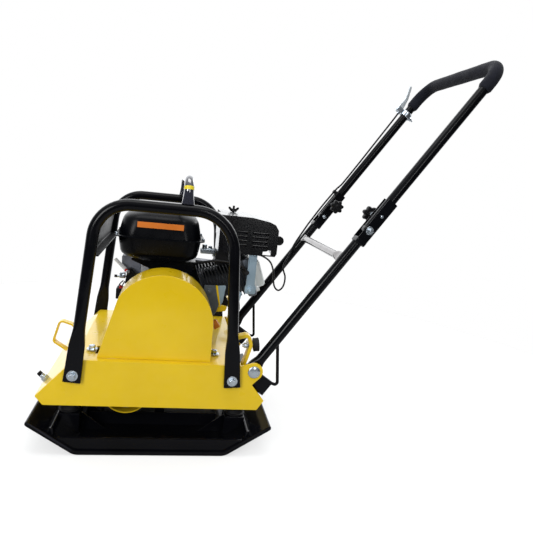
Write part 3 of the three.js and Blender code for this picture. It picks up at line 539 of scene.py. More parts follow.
    def sweep(self, route, section, sides=20, up=None):
        """A closed section carried along a route. section(t) gives (half width, half height, power)."""
        points = [Vector(p) for p in route]
        rows = []
        normal = Vector(up) if up else None
        lengths = [0.0]
        for a, b in zip(points, points[1:]):
            lengths.append(lengths[-1] + (b - a).length)
        for i, p in enumerate(points):
            way = Vector()
            if i:
                way += (p - points[i - 1]).normalized()
            if i < len(points) - 1:
                way += (points[i + 1] - p).normalized()
            way.normalize()
            if normal is None:
                normal = way.orthogonal().normalized()
            normal = (normal - way * normal.dot(way)).normalized()
            side = way.cross(normal)
            a, b, power = section(lengths[i] / lengths[-1])
            row = []
            for k in range(sides):
                angle = k * math.tau / sides
                c, s = math.cos(angle), math.sin(angle)
                u = math.copysign(abs(c) ** (2 / power), c) * a
                v = math.copysign(abs(s) ** (2 / power), s) * b
                row.append(p + side * u + normal * v)
            rows.append(row)
        return self.take(skin(rows))

    def bar(self, line, section, y=0.0, sides=28):
        """A section carried along an (x, z) line in a plane of constant y."""
        return self.sweep([(p[0], y, p[1]) for p in line], section, sides, (0, 1, 0))

    def tube(self, corners, radius, bend, y=0.0, sides=20, steps=8):
        """A round bar through (x, z) corners, which are bent."""
        line = divided(rounded(corners, bend, steps, closed=False), 40)
        return self.bar(line, even(radius, radius), y, sides)

    def wire(self, points, radius, sides=10, steps=6):
        return self.sweep(smooth_route(points, steps), even(radius, radius), sides)

    def bead(self, start, end, radius=3.2):
        """A rippled weld bead between two points."""
        a, b = Vector(start), Vector(end)
        count = max(6, int((b - a).length / 3) * 4)
        route = [a.lerp(b, i / count) for i in range(count + 1)]

        def ripple(t):
            r = radius * (0.82 + 0.18 * abs(math.sin(t * count * math.pi / 4)) + 0.06 * math.sin(t * 37))
            return (r, r, 2)

        return self.sweep(route, ripple, 8)

    def cad(self, node, bevel=0.0, segments=2):
        """The CAD node's own solid, its flat faces whole again, with rounded edges."""
        bm = bmesh.new()
        bm.from_mesh(bpy.data.objects[node].data)
        bm.transform(Matrix.Scale(1 / MM, 4))
        bmesh.ops.remove_doubles(bm, verts=bm.verts, dist=0.001)
        bmesh.ops.dissolve_limit(bm, angle_limit=1 * DEG, verts=bm.verts, edges=bm.edges)
        return self.take(bm, bevel, segments)

    def made(self, name, finish, *replaces, body="deck"):
        """The finished piece, riding on a CAD body and shown for the CAD nodes it replaces."""
        self.mesh.transform(Matrix.Scale(MM, 4))
        mesh = bpy.data.meshes.new(name)
        self.mesh.to_mesh(mesh)
        self.mesh.free()
        mesh.polygons.foreach_set("use_smooth", [True] * len(mesh.polygons))
        mesh.set_sharp_from_angle(angle=32 * DEG)
        mesh.materials.append(MATERIALS[finish])
        piece = bpy.data.objects.new(name, mesh)
        bpy.context.scene.collection.objects.link(piece)
        piece.modifiers.new("weighted", "WEIGHTED_NORMAL").keep_sharp = True
        if body:
            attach(piece, body)
        if replaces:
            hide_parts(*replaces)
        return piece


def span(side, a, b):
    """The two values on one side of the machine, in rising order."""
    return tuple(sorted((side * a, side * b)))


# ---------- camera, light and floor ----------

def camera():
    """The main viewpoint: from the near side, above the engine, looking down and a little to the rear."""
    place = Matrix((
        (0.9800, -0.0734, -0.1852), (-0.1700, 0.1756, -0.9697), (0.1040, 0.9817, 0.1596))).to_4x4()
    data = bpy.data.cameras.new("camera")
    data.sensor_width = 36
    data.lens = 36
    view = bpy.data.objects.new("camera", data)
    x = Vector(place.col[0][:3]).normalized()
    z = Vector(place.col[2][:3])
    z = (z - x * z.dot(x)).normalized()
    y = z.cross(x)
    view.matrix_world = Matrix.Translation((0.002, -1.354, 0.621)) @ Matrix((x, y, z)).transposed().to_4x4()
    bpy.context.scene.collection.objects.link(view)
    bpy.context.scene.camera = view


def softbox(name, place, aim, size, power):
    data = bpy.data.lights.new(name, "AREA")
    data.shape = "RECTANGLE"
    data.size, data.size_y = size
    data.energy = power
    lamp = bpy.data.objects.new(name, data)
    lamp.location = place
    lamp.rotation_euler = (Vector(aim) - Vector(place)).to_track_quat("-Z", "Y").to_euler()
    bpy.context.scene.collection.objects.link(lamp)


def world_light():
    """A white backdrop all round for the eye. The light is a bright wall behind and a sky above."""
    world = bpy.data.worlds.new("studio")
    world.use_nodes = True
    tree = world.node_tree
    tree.nodes.clear()
    add = tree.nodes.new

    def fade(value, start, stop, low, high):
        node = add("ShaderNodeMapRange")
        for socket, number in zip(node.inputs[1:5], (start, stop, low, high)):
            socket.default_value = number
        tree.links.new(value, node.inputs["Value"])
        return node.outputs["Result"]

    place, split = add("ShaderNodeTexCoord"), add("ShaderNodeSeparateXYZ")
    tree.links.new(place.outputs["Generated"], split.inputs["Vector"])
    sky = fade(split.outputs["Z"], 0.15, 1.0, 0.10, 0.95)
    back = fade(split.outputs["Y"], 0.15, 0.75, 0.0, 1.6)
    level = fade(split.outputs["Z"], -0.45, -0.18, 0.05, 1.0)
    wall, total = add("ShaderNodeMath"), add("ShaderNodeMath")
    wall.operation = "MULTIPLY"
    tree.links.new(back, wall.inputs[0])
    tree.links.new(level, wall.inputs[1])
    tree.links.new(wall.outputs[0], total.inputs[0])
    tree.links.new(sky, total.inputs[1])
    lit, seen = add("ShaderNodeBackground"), add("ShaderNodeBackground")
    mix = add("ShaderNodeMixShader")
    tree.links.new(total.outputs[0], lit.inputs["Strength"])
    lit.inputs["Color"].default_value = (0.97, 0.985, 1.0, 1)
    seen.inputs["Color"].default_value = (1, 1, 1, 1)
    tree.links.new(add("ShaderNodeLightPath").outputs["Is Camera Ray"], mix.inputs["Fac"])
    tree.links.new(lit.outputs["Background"], mix.inputs[1])
    tree.links.new(seen.outputs["Background"], mix.inputs[2])
    tree.links.new(mix.outputs["Shader"], add("ShaderNodeOutputWorld").inputs["Surface"])
    bpy.context.scene.world = world
    bpy.context.scene.view_settings.view_transform = "Standard"


def floor():
    """A pale translucent sheet: it takes a light shadow and is not a strong mirror below the machine."""
    bm = bmesh.new()
    bmesh.ops.create_circle(bm, cap_ends=True, segments=96, radius=1.5)
    mesh = bpy.data.meshes.new("floor")
    bm.to_mesh(mesh)
    bm.free()
    sheet = bpy.data.objects.new("floor", mesh)
    sheet.location = (0.15, 0.1, -0.0005)
    n = Nodes("floor")
    n.colour(n.tone(0.8, 2, (0.95, 0.95, 0.95), (0.97, 0.97, 0.97)))
    n.set(Roughness=0.9, Specular_IOR_Level=0.0)
    clear, mix = n.add("ShaderNodeBsdfTransparent"), n.add("ShaderNodeMixShader", Fac=0.62)
    n.link(n.shader.outputs["BSDF"], mix.inputs[1])
    n.link(clear.outputs["BSDF"], mix.inputs[2])
    n.link(mix.outputs["Shader"], n.tree.nodes["Material Output"].inputs["Surface"])
    mesh.materials.append(n.material)
    bpy.context.scene.collection.objects.link(sheet)


def studio():
    world_light()
    softbox("top", (-0.1, -0.5, 2.5), (0.1, 0, 0.2), (1.8, 1.0), 18)
    softbox("front_left", (-1.5, -2.4, 1.3), (0, 0, 0.3), (0.9, 1.3), 42)
    softbox("front_strip", (0.7, -2.6, 1.2), (0.1, 0, 0.3), (0.25, 1.6), 12)
    softbox("rear_right", (2.0, 1.5, 1.6), (0.2, 0, 0.4), (0.9, 1.2), 16)
    floor()


camera()
studio()


# ---------- throttle cable ----------

def on_arm(s, y, n):
    return HANDLE @ Vector((s, y, n))


CABLE_RADIUS = 2.5
UPPER_CABLE = [
    on_arm(788.5, ARM_Y - 2, 22), on_arm(770, ARM_Y - 2, 21), on_arm(700, ARM_Y, 19),
    on_arm(600, ARM_Y, 17), on_arm(530, ARM_Y, 16.5), on_arm(516, ARM_Y, 18),
]
LOWER_CABLE = [
    on_arm(515, ARM_Y, 18.2), on_arm(500, ARM_Y, 20), on_arm(440, ARM_Y, 21),
    on_arm(370, ARM_Y - 4, 20), on_arm(300, ARM_Y - 14, 16), on_arm(262, ARM_Y - 20, 8),
    (342, 164, 374), (349, 156, 345), (345, 150, 319), (331, 144, 306.5), (317, 138, 317),
    (309, 128, 340), (303, 114, 368), (288, 96, 396), (262, 78, 413), (238, 68, 418), (216.5, 66, 418),
]


def cables():
    """The cable along the upper arm, across the fold and on to the engine, and its clip on the lower arm."""
    upper = Shape().wire(UPPER_CABLE, CABLE_RADIUS)
    upper.wire([on_arm(516, ARM_Y, 18), on_arm(510, ARM_Y, 18.6)], CABLE_RADIUS)
    upper.made("cable_run_top", "cable_sheath", "cable_upper", body="handle_top")
    folding = Shape().wire(LOWER_CABLE[:4], CABLE_RADIUS, 10, 10)
    folding = folding.made("cable_run_fold", "cable_sheath", body=None)
    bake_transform(folding)
    loop = Shape().wire(LOWER_CABLE[3:], CABLE_RADIUS, 10, 8)
    loop = loop.made("cable_run_loop", "cable_sheath", "cable_lower", body=None)
    Vector(LOWER_CABLE[6]) * MM
    Vector(LOWER_CABLE[15]) * MM
    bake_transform(loop)
    clip = Shape(HANDLE)
    clip.ring(16, 12.3, (488, 500), "X", (0, ARM_Y, 0), 28, 1.2)
    clip.box((489, 499), (ARM_Y - 5, ARM_Y + 5), (15, 24), 1.5)
    clip.made("cable_clip", "black_plastic", body="lower_handle")


cables()


# ---------- base plate and exciter ----------

def base_plate():
    """The sole with its turned-up ends, side rails, cross walls, spring posts and weld beads."""
    sole, reach, lean, thick = 163, 257.5, 33 * DEG, 10
    tip = (reach - sole) * math.tan(lean)
    right = [(sole, 0), (reach, tip), (reach + 6.5, tip + 5), (reach + 4, tip + 14.5),
             (reach - thick * math.sin(lean), tip + thick * math.cos(lean)),
             (sole - thick * math.tan(lean / 2), thick)]
    outline = [*right, *[(-x, z) for x, z in reversed(right)]]
    radii = [34, 12, 5, 3.5, 10, 24, 24, 10, 3.5, 5, 12, 34]
    plate = Shape().plate(rounded(outline, radii, 6), (-250, 250), 2.2)
    for _, side in SIDES:
        rail = [(-205, 36), (-160, 5), (160, 5), (205, 36)]
        plate.plate(rail, span(side, 236, 244), 1.5)
        plate.box((-150, 150), span(side, 114, 120), (8, 40), 1.2)
        plate.bead((-158, side * 233.5, 11), (158, side * 233.5, 11), 3)
        for end in (-1, 1):
            plate.bead((end * 209, side * 233, 37), (end * 213.5, side * 233, 55), 4)
            plate.bead((end * 206, side * 244, 37), (end * 168, side * 244.5, 12), 2.5)
            post = [(end * x, z) for x, z in ((164, 12), (212, 36), (212, 60), (164, 60))]
            plate.plate(post, span(side, 124, 176), 2)
            plate.bead((end * 163, side * 125, 11), (end * 163, side * 175, 11), 3)
            brace = [(end * 164, 54), (end * 164, 10), (end * 105, 10)]
            plate.plate(brace, span(side, 147, 153), 1)
    for end in (-1, 1):
        wall = [(end * x, z) for x, z in ((205, 30), (211, 34), (214, 56), (208, 56))]
        plate.plate(wall, (-240, 240), 1.5)
        plate.bead((end * 213, -236, 40.5), (end * 213, 236, 40.5), 3.4)
    for x in (EXCITER[0] - 90, EXCITER[0] + 68):
        plate.box((x, x + 22), (-105, 105), (8, 54), 2)
    plate.made("sole_and_lips", "black_paint", "base_plate", body="base")


def exciter():
    """The sealed housing on the sole, its bearings and the eccentric rotor inside."""
    x, z = EXCITER
    foot = [(x - 99, 54.3), (x + 99, 54.3), (x + 99, 68), (x + 70, 70), (x - 70, 70), (x - 99, 68)]
    case = Shape().plate(rounded(foot, 3), (-105, 105), 1.5)
    case.box((x - 36, x + 36), (-92, 92), (60, z), 3)
    case.ring(50, 41, (-82, 82), "Y", (x, 0, z), 48, 2)
    for _, side in SIDES:
        case.ring(50, 26.1, span(side, 80, 100), "Y", (x, 0, z), 48, 2)
        for rib in (-1, 1):
            web = [(x + rib * 34, 69), (x + rib * 80, 69), (x + rib * 34, 108)]
            case.plate(web, span(side, 55, 63), 1.5)
    case.made("exciter_case", "yellow_paint", "exciter_housing", body="base")
    cover = Shape().turned([(0, 100.3), (40, 100.3), (40, 105), (38, 107), (24, 108), (20, 112), (0, 112)],
                           "Y", (x, 0, z), 40)
    cover.made("exciter_end", "yellow_paint", "exciter_cover", body="base")
    fixings = Shape()
    for px, pz in arc(x, z, 33, 15, 315, 5):
        fixings.bolt(8, (px, 106.6, pz), 1, washer=False)
    for dx in (-88, 88):
        for y in (-80, 0, 80):
            fixings.bolt(17, (x + dx, y, 68), 1, "Z")
    fixings.made("exciter_bolts", "zinc", body="base")
    for name, side in SIDES:
        race = Shape().ring(25.7, 21.8, span(side, 84, 98), "Y", (x, 0, z), 36, 0.8)
        race.ring(18.6, 15.3, span(side, 84, 98), "Y", (x, 0, z), 36, 0.8)
        race.ring(22, 18.4, span(side, 87, 95), "Y", (x, 0, z), 36, 0.4)
        race.made(f"roller_bearing_{name}", "steel", f"exciter_bearing_{name}", body="base")
    rotor = Shape().rod(15, (-118, 98), "Y", (x, 0, z), 32).rod(12, (-152, -112), "Y", (x, 0, z), 32)
    rotor.plate(arc(x, z, 37, 180, 360, 24), (-74, 74), 1.5)
    rotor.made("unbalanced_rotor", "steel", "eccentric_shaft", body="exciter_rotor")


def grooved_wheel(pitch, rim, bore, x, z, hub, back):
    """A V-groove pulley with a dished web, turned about Y."""
    y = BELT_Y
    floor = pitch - 4.5
    profile = [
        (bore, y - 10), (bore + 9, y - 12), (bore + 11, y - 9), (floor - 8, y - 6), (floor - 5, y - 12),
        (rim - 1, y - 12), (rim, y - 11), (rim, y - 6.4), (floor, y - 5.6), (floor, y + 5.6),
        (rim, y + 6.4), (rim, y + 11), (rim - 1, y + 12), (hub, y + 12), (hub, back - 1),
        (hub - 1, back), (bore, back),
    ]
    return Shape().turned(profile, "Y", (x, 0, z), 56)


def belt_loop(offset):
    """The belt's line round both pulleys, offset outwards from the pitch line."""
    (ax, az), (bx, bz) = CRANK, EXCITER
    ra, rb = 62 + offset, 40 + offset
    length = math.hypot(ax - bx, az - bz)
    lean = math.atan2(az - bz, ax - bx) / DEG
    half = math.acos((ra - rb) / length) / DEG
    return [*arc(ax, az, ra, lean - 180 + half, lean + 180 - half, 40),
            *arc(bx, bz, rb, lean + 180 - half, lean + 180 + half, 28)]


def belt_drive():
    small = grooved_wheel(40, 46, 12.3, *EXCITER, 46 - 0.01, -128)
    small.made("driven_pulley", "steel", "exciter_pulley", body="exciter_rotor")
    large = grooved_wheel(62, 68, 10.3, *CRANK, 58, -102)
    for x, z in arc(*CRANK, 38, 0, 300, 5):
        large.rod(4, (-153.5, -150), "Y", (x, 0, z), 14)
    large.made("clutch_drum", "steel", "clutch_pulley", body="crank")
    half = [(belt_loop(4), 5.0), (belt_loop(3.2), 5.5), (belt_loop(-4), 3.8)]
    rows = [[(p[0], BELT_Y - wide, p[1]) for p in loop] for loop, wide in half]
    rows += [[(p[0], BELT_Y + wide, p[1]) for p in loop] for loop, wide in reversed(half)]
    belt = Shape().take(skin(rows, ring=True)).made("v_belt", "rubber", "drive_belt", body=None)
    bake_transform(belt)


def shock_mounts():
    for end_name, end in (("front", -1), ("rear", 1)):
        for name, side in SIDES:
            node = f"shock_mount_{end_name}_{name}"
            low, high = (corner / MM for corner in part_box(node))
            x, y = (low.x + high.x) / 2, (low.y + high.y) / 2
            tall = high.z - low.z
            profile = [(0, 0), (23, 0), (24, 1), (24, 3), (21, 4.5)]
            waist = (0.15, 0.3, 0.5, 0.7, 0.85)
            profile += [(18.5 + 2.5 * (2 * t - 1) ** 2, 4.5 + (tall - 9) * t) for t in waist]
            profile += [(21, tall - 4.5), (24, tall - 3), (24, tall - 1), (23, tall), (0, tall)]
            piece = Shape().turned(profile, "Z", (x, y, low.z), 40)
            piece = piece.made(f"rubber_spring_{end_name}_{name}", "rubber", node, body=None)
            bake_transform(piece)


base_plate()
exciter()
belt_drive()
shock_mounts()


# ---------- deck ----------

def panel_outline():
    lobe = arc(*PIVOT, 21, -44.5, 120, 22)
    corners = [(-237, 95), (232, 95), (247, 118), (215.4, 155.4), *lobe, (188, 200), (-176, 200), (-254, 115)]
    return rounded(corners, [4, 4, 4, 3, *[0] * len(lobe), 6, 9, 3], 5)


def deck_frame():
    """Side panels with their bumper brackets, the front slope, the bed with its belt slot, and the floors."""
    deck = Shape()
    for _, side in SIDES:
        deck.plate(panel_outline(), span(side, PANEL_OUT - SHEET, PANEL_OUT), 1.0)
        middle = rounded([(184, 156), (193, 194), (200, 216), (207, 245), (200, 268.5), (175, 261)],
                         [0, 12, 12, 12, 9, 0], 6, closed=False)
        deck.bar(middle, even(4, 12, 10), side * EAR_Y, 24)
        deck.box((180, 195.6), span(side, 180, 200), (140, 166), 1.5)
        deck.bead((-170, side * 203, 103), (-232, side * 203, 103), 2.2)
    across = (-206, 206)
    bed = (DECK_TOP - SHEET, DECK_TOP)
    under = (DECK_LOW, DECK_LOW + SHEET)
    deck.plate(rounded([(-254, 115), (-178, 198.5), (-174, 200), (-172, 194), (-249, 110)], [1, 4, 2, 1, 1]),
               across, 0.8)
    deck.box((-176, -140), across, bed, 0.8)
    deck.box((78, DECK_REAR), across, bed, 0.8)
    deck.box((-140.5, 78.5), (-206, -166), bed, 0.8)
    deck.box((-140.5, 78.5), (-112, 206), bed, 0.8)
    deck.box((DECK_REAR - SHEET, DECK_REAR), across, (DECK_LOW, DECK_TOP - 1), 1)
    deck.box((-237, -150), across, under, 1)
    deck.box((150, 214), across, under, 1)
    deck.made("deck_weldment", "yellow_paint", "deck_frame")


def deck_fittings():
    grip = Shape()
    line = rounded([(-226, 149), (-260, 171), (-245.5, 225), (-216, 216), (-191.5, 187)], 9, 6, closed=False)
    grip.bar(line, even(2.4, 10, 8), sides=20)
    grip.made("front_handle", "yellow_paint", "front_grip")
    place = placed((-242.8, -150, 128.6), -47)
    drain = Shape(place).hexagon(16, (0, 9), "Z").rod(6, (8, 16), "Z", sides=20)
    drain.made("drain_union", "zinc", "drain_fitting")
    Shape(place).box((-4.5, 4.5), (-4.5, 4.5), (14.5, 24), 1.2).made("drain_cap", "black_plastic")
    for name, side in SIDES:
        place = placed((219.4, side * EAR_Y, 244.5), -7)
        disc = [(0, -6.5), (15, -6.5), (16, -5.5), (15.4, -2), (15.4, 2), (16, 5.5), (15, 6.5), (6, 6.5),
                (5, 5.5), (0, 5.5)]
        bumper = Shape(place).turned(disc, "X", sides=40)
        bumper.made(f"stop_rubber_{name}", "rubber", f"rubber_bumper_{name}")
        nut = Shape(place).bolt(12, (-19.5, 0, 0), -1, "X").rod(3, (-32, -5), "X", sides=14)
        nut.made(f"stop_rubber_nut_{name}", "zinc")
        y = side * (PANEL_OUT + 0.3)
        pin = Shape().rod(8, span(side, 176, PANEL_OUT + 1), "Y", (PIVOT[0], 0, PIVOT[1]), 28)
        dome = [(0, -0.5), (13.4, -0.5), (14, 0.2), (14, 1.8), (12.8, 2.9), (9, 4.0), (4, 4.6), (0, 4.7)]
        pin.turned([(r, side * h) for r, h in dome], "Y", (PIVOT[0], y, PIVOT[1]), 44)
        pin.made(f"pivot_pin_{name}", "zinc", f"pivot_bolt_{name}")


def belt_guard():
    """The arched cover over both pulleys, and the pan under the lower one."""
    low = GUARD_LOW
    crown = arc(GUARD_X, GUARD_Z, GUARD_R, 0, 143, 40)
    edge = [(GUARD_X + GUARD_R, low), *crown, (-92.5, 340), (-96, 331), (-98.6, 321), (-132, low)]
    guard = Shape().plate(edge, (-195, -192.6), 1.1)
    guard.band(edge, 2.4, (-194.2, -95), 0.5)
    lying = placed((0, 0, low), 90, "X")
    front_foot = rounded([(-166, -168), (-129, -168), (-129, -130), (-166, -130)], [9, 1, 1, 9])
    rear_foot = rounded([(115, -162), (146, -162), (146, -124), (115, -124)], [1, 9, 9, 1])
    for foot in (front_foot, rear_foot):
        guard.plate(foot, (-3, 0), 0.6, lying)
    guard.made("belt_cover", "yellow_paint", "belt_guard")
    bolts = Shape().bolt(13, (-148, -147, low + 3), 1, "Z").bolt(13, (129, -143, low + 3), 1, "Z")
    bolts.made("belt_cover_bolts", "zinc")
    high = 193.7
    line = [(48, high), *arc(*EXCITER, 55, 360, 180, 36), (-132, high)]
    chute = Shape().band(list(reversed(line)), 3, (-162, -118), 0.6)
    chute.made("belt_pan", "yellow_paint", "belt_chute")


deck_frame()
deck_fittings()
belt_guard()


# ---------- roll cage ----------

def leg_x(leg, z):
    return leg[0] - leg[1] * (z - HOOP_BOLT_Z)


def cage():
    """Two side hoops, the lifting arch across them and the front shield between them."""
    corners = [
        (leg_x(HOOP_FRONT, HOOP_LOW), HOOP_LOW), (leg_x(HOOP_FRONT, HOOP_TOP), HOOP_TOP),
        (leg_x(HOOP_REAR, HOOP_TOP), HOOP_TOP), (leg_x(HOOP_REAR, HOOP_LOW), HOOP_LOW)]
    whole = 2 * (HOOP_TOP - HOOP_LOW) + 284 - 0.43 * sum(HOOP_BENDS)

    def section(t):
        """Round tube, pressed flat towards both ends."""
        run = min(t, 1 - t) * whole
        flat = ease((122 - run) / 45)
        wider = 4 + 2.2 * clamped((90 - run) / 90)
        return (CAGE_TUBE + wider * flat, CAGE_TUBE - 7.6 * flat, 2 + 6 * flat)

    line = divided(rounded(corners, (0, *HOOP_BENDS, 0), 14, closed=False), 9)
    for name, side in SIDES:
        hoop = Shape().bar(line, section, side * HOOP_Y)
        hoop.made(f"roll_hoop_{name}", "black_paint", f"hoop_{name}")
        bolts = Shape()
        for leg in (HOOP_FRONT, HOOP_REAR):
            bolts.bolt(12.5, (leg[0], side * (HOOP_Y + 4.9), HOOP_BOLT_Z), side, turn=8)
        bolts.made(f"hoop_bolts_{name}", "zinc")

    low = HOOP_TOP + CAGE_TUBE + 0.3
    turn = placed((ARCH_X, 0, 0), 90, "Z")
    legs = [(-HOOP_Y, low), (-HOOP_Y, ARCH_TOP), (HOOP_Y, ARCH_TOP), (HOOP_Y, low)]

    def foot(t):
        run = min(t, 1 - t) * 540
        flat = clamped((30 - run) / 30) ** 1.6
        return (ARCH_TUBE - 3 * flat, ARCH_TUBE + 3 * flat, 2 + 2 * flat)

    line = divided(rounded(legs, ARCH_BEND, 12, closed=False), 5)
    arch = Shape(turn).bar(line, foot)
    arch.made("lifting_bow", "arch_paint", "lifting_arch")
    near_bend = [p for p in line if p.x < 0 and 583 < p.y < 592]
    film = Shape(turn).bar(near_bend, even(ARCH_TUBE + 0.25, ARCH_TUBE + 0.25))
    film.made("plain_band", "yellow_film")
    reach = HOOP_Y - CAGE_TUBE - 0.3
    folded = [(-161, 426), (-138, 426), (-138, 429), (-157.5, 430), (-148, 497), (-152, 497)]
    plate = Shape().plate(rounded(folded, [3, 1, 1, 3, 1, 1]), (-reach, reach), 0.8)
    plate.made("front_shield", "matt_black", "front_cross_plate")


cage()


# ---------- engine ----------

def crankcase():
    """The engine block with its side lid, ribs, shaft seal and the posts that carry the tank."""
    outline = rounded([(-88, ENGINE_LOW), (100, ENGINE_LOW), (100, 212), (92, 216), (96, 262), (84, 345),
                       (20, 368), (-48, 368), (-76, 330), (-80, 216), (-88, 212)],
                      [2, 2, 3, 6, 14, 20, 16, 24, 24, 6, 3])
    case = Shape().plate(outline, (-73, 58), 4, segments=3)
    lid = rounded([(-70, 222), (86, 222), (92, 262), (80, 338), (18, 360), (-44, 360), (-70, 326)], 16)
    case.plate(lid, (-86, -74), 3, segments=3)
    seal = [(14, -84), (30, -84), (30, -91), (27, -93), (16, -93), (14, -91)]
    case.turned(seal, "Y", (CRANK[0], 0, CRANK[1]), 40)
    for k in range(5):
        case.box((-60 + k * 30, -56 + k * 30), (-84, -72), (214, 236), 1)
    for x in (-58, 34):
        case.box((x, x + 20), (-12, 14), (355, 397.7), 2)
    case.made("engine_block", "cast_alloy", "crankcase")
    bolts = Shape()
    for x, z in ((-62, 232), (80, 232), (84, 268), (72, 328), (16, 350), (-40, 350), (-60, 312)):
        bolts.bolt(9, (x, -86, z), -1, washer=False)
    for x in (-80, 94):
        for y in (-60, 34):
            bolts.bolt(13, (x * 0.98, y, 212), 1, "Z")
    bolts.made("engine_bolts", "zinc")


def crank_parts():
    x, z = CRANK
    shaft = Shape().rod(10, (-168, -60), "Y", (x, 0, z), 32).rod(12.5, (-90, 62), "Y", (x, 0, z), 32)
    shaft.rod(9, (60, 96), "Y", (x, 0, z), 28)
    web = rounded([(x - 24, z - 34), (x + 24, z - 34), (x + 24, z + 34), (x - 24, z + 34)], 16)
    shaft.plate(web, (-44, -30), 1.5).plate(web, (-2, 12), 1.5).rod(11, (-32, 0), "Y", (x, 0, z + 26), 28)
    shaft.bolt(13, (x, -168, z), -1)
    shaft.made("crank_and_journals", "steel", "crankshaft", body="crank")
    rim = [(9.4, 64), (74, 64), (75, 66), (75, 80), (73, 82), (60, 80), (34, 80), (30, 90), (9.4, 90)]
    wheel = Shape().turned(rim, "Y", (x, 0, z), 56)
    for k in range(16):
        turn = placed((x, 0, z), k * 22.5)
        wheel.plate([(42, -1.5), (70, 5), (70, 7), (42, 1.5)], (79, 92), 0.5, turn)
    wheel.made("fan_flywheel", "cast_alloy", "flywheel", body="crank")


def cylinder():
    """The leaning finned barrel, its valve cover, and the plug with its lead."""
    body = Shape(LEAN).rod(42, (98, 226), "X", (0, -6, 0), 40, 2)
    body.box((98, 112), (-46, 34), (-40, 40), 3)
    for i in range(15):
        at = 104 + i * 7.9
        fin = rounded([(-62, -42), (46, -42), (46, 54), (-62, 54)], 12)
        body.plate(fin, (0, 2.6), 0.7, placed((at, 0, 0), -8) @ ACROSS)
    body.box((206, 228), (-56, 42), (-50, 46), 4)
    body.made("finned_barrel", "dark_fins", "cylinder")
    cover = Shape(LEAN).box((228.3, 233), (-48, 34), (-44, 42), 1.5)
    cover.box((232, 256), (-42, 28), (-36, 34), 8, segments=4)
    for y in (-43, 29):
        for z in (-39, 37):
            cover.bolt(9, (232, y, z), 1, "X", washer=False)
    # The valve cover's pale colour is a painted reflection.
    cover.made("valve_cover", "bright_cover", "rocker_cover")
    plug = Shape(LEAN)
    plug.rod(9, (-72, -54), "Y", (214, 0, 18), 20).rod(6, (-82, -70), "Y", (214, 0, 18), 20)
    plug.made("plug_boot", "rubber")
    route = [(214, -78, 18), (205, -84, 40), (160, -70, 62), (110, -40, 66), (80, 10, 60)]
    lead = Shape().wire([LEAN @ Vector(p) for p in route], 3.2, 12, 8)
    lead.made("plug_lead", "cable_sheath")


def domed_box(shape, x, y, z, corner, rise, inset, rings=6):
    """A box with round vertical edges whose top and bottom curve in."""
    middle = ((x[0] + x[1]) / 2, (y[0] + y[1]) / 2)
    half = ((x[1] - x[0]) / 2, (y[1] - y[0]) / 2)
    turns = [90 * k / rings * DEG for k in range(rings + 1)]
    levels = [(inset * (1 - math.sin(a)), z[0] + rise * (1 - math.cos(a))) for a in turns]
    levels += [(inset * (1 - math.sin(a)), z[1] - rise * (1 - math.cos(a))) for a in reversed(turns)]
    rows = []
    for shrink, height in levels:
        hx, hy = half[0] - shrink, half[1] - shrink
        r = max(corner - 0.4 * shrink, 4)
        line = rounded([(hx, hy), (-hx, hy), (-hx, -hy), (hx, -hy)], r, 8)
        rows.append([(middle[0] + p[0], middle[1] + p[1], height) for p in line])
    return shape.take(skin(rows))


def tank_level(z):
    """How far in the tank's wall is at height z: a round belly below the seam, a gentle taper above it."""
    if z < TANK_SEAM:
        return 1.5 + 7 * ((TANK_SEAM - z) / 46) ** 1.2 + 26 * max(0, (422 - z) / 24) ** 2.4
    return 1.5 + 11 * ((z - TANK_SEAM) / 52) ** 1.3 + 24 * max(0, (z - 496) / 24) ** 2.6


def fuel_tank():
    """The tank as stacked levels with a flange at its seam, the filler cap, screws and a plain strip."""
    heights = [398, 398.6, 400, 402, 405, 409, 414, 420, 428, 438, 448, 455, 455.6]
    heights += [458.2, 459, 466, 476, 486, 494, 500, 504, 508, 511, 514, 516.5, 518.3, 519.4, 520]
    rows = []
    for z in heights:
        inset = -TANK_FLANGE if abs(z - TANK_SEAM) < 1.65 else tank_level(z)
        hx, hy = TANK_HALF_X - inset, TANK_HALF_Y - inset
        line = rounded([(hx, hy), (-hx, hy), (-hx, -hy), (hx, -hy)], TANK_CORNER, 12)
        rows.append([(TANK_X + p[0], TANK_Y + p[1], z) for p in line])
    tank = Shape().take(skin(rows))
    tank.turned([(18, 514), (22, 514), (22, 523), (21, 524), (18, 524)], "Z", (*FILLER, 0), 40)
    tank.made("petrol_tank", "tank_plastic", "fuel_tank")
    lid = [(0, 521), (30, 521), (31, 522.5), (31, 534), (28, 538), (20, 539), (0, 539)]
    cap = Shape().turned(lid, "Z", (*FILLER, 0), 48)
    for x, y in arc(*FILLER, 30.6, 0, 345, 23):
        cap.rod(1.8, (523, 536), "Z", (x, y, 0), 8, 0.6)
    cap.made("tank_lid", "black_plastic", "fuel_cap", body="tank_cap")
    screws = Shape()
    for x in (-119, 87):
        for y in (-50, 60):
            screws.bolt(7, (x, y, 458.4), 1, "Z", washer=False)
    screws.made("tank_screws", "zinc")
    low_z, high_z = 481.5, 494.5
    low_y, high_y = (TANK_Y - TANK_HALF_Y + tank_level(z) for z in (low_z, high_z))
    tilt = math.atan2(high_y - low_y, high_z - low_z) / DEG
    place = placed((-16.5, (low_y + high_y) / 2 - 0.25, (low_z + high_z) / 2), -tilt, "X")
    Shape(place).box((-54, 54), (-0.2, 0.6), (-6.8, 6.8), 0.1).made("plain_strip", "orange_film")


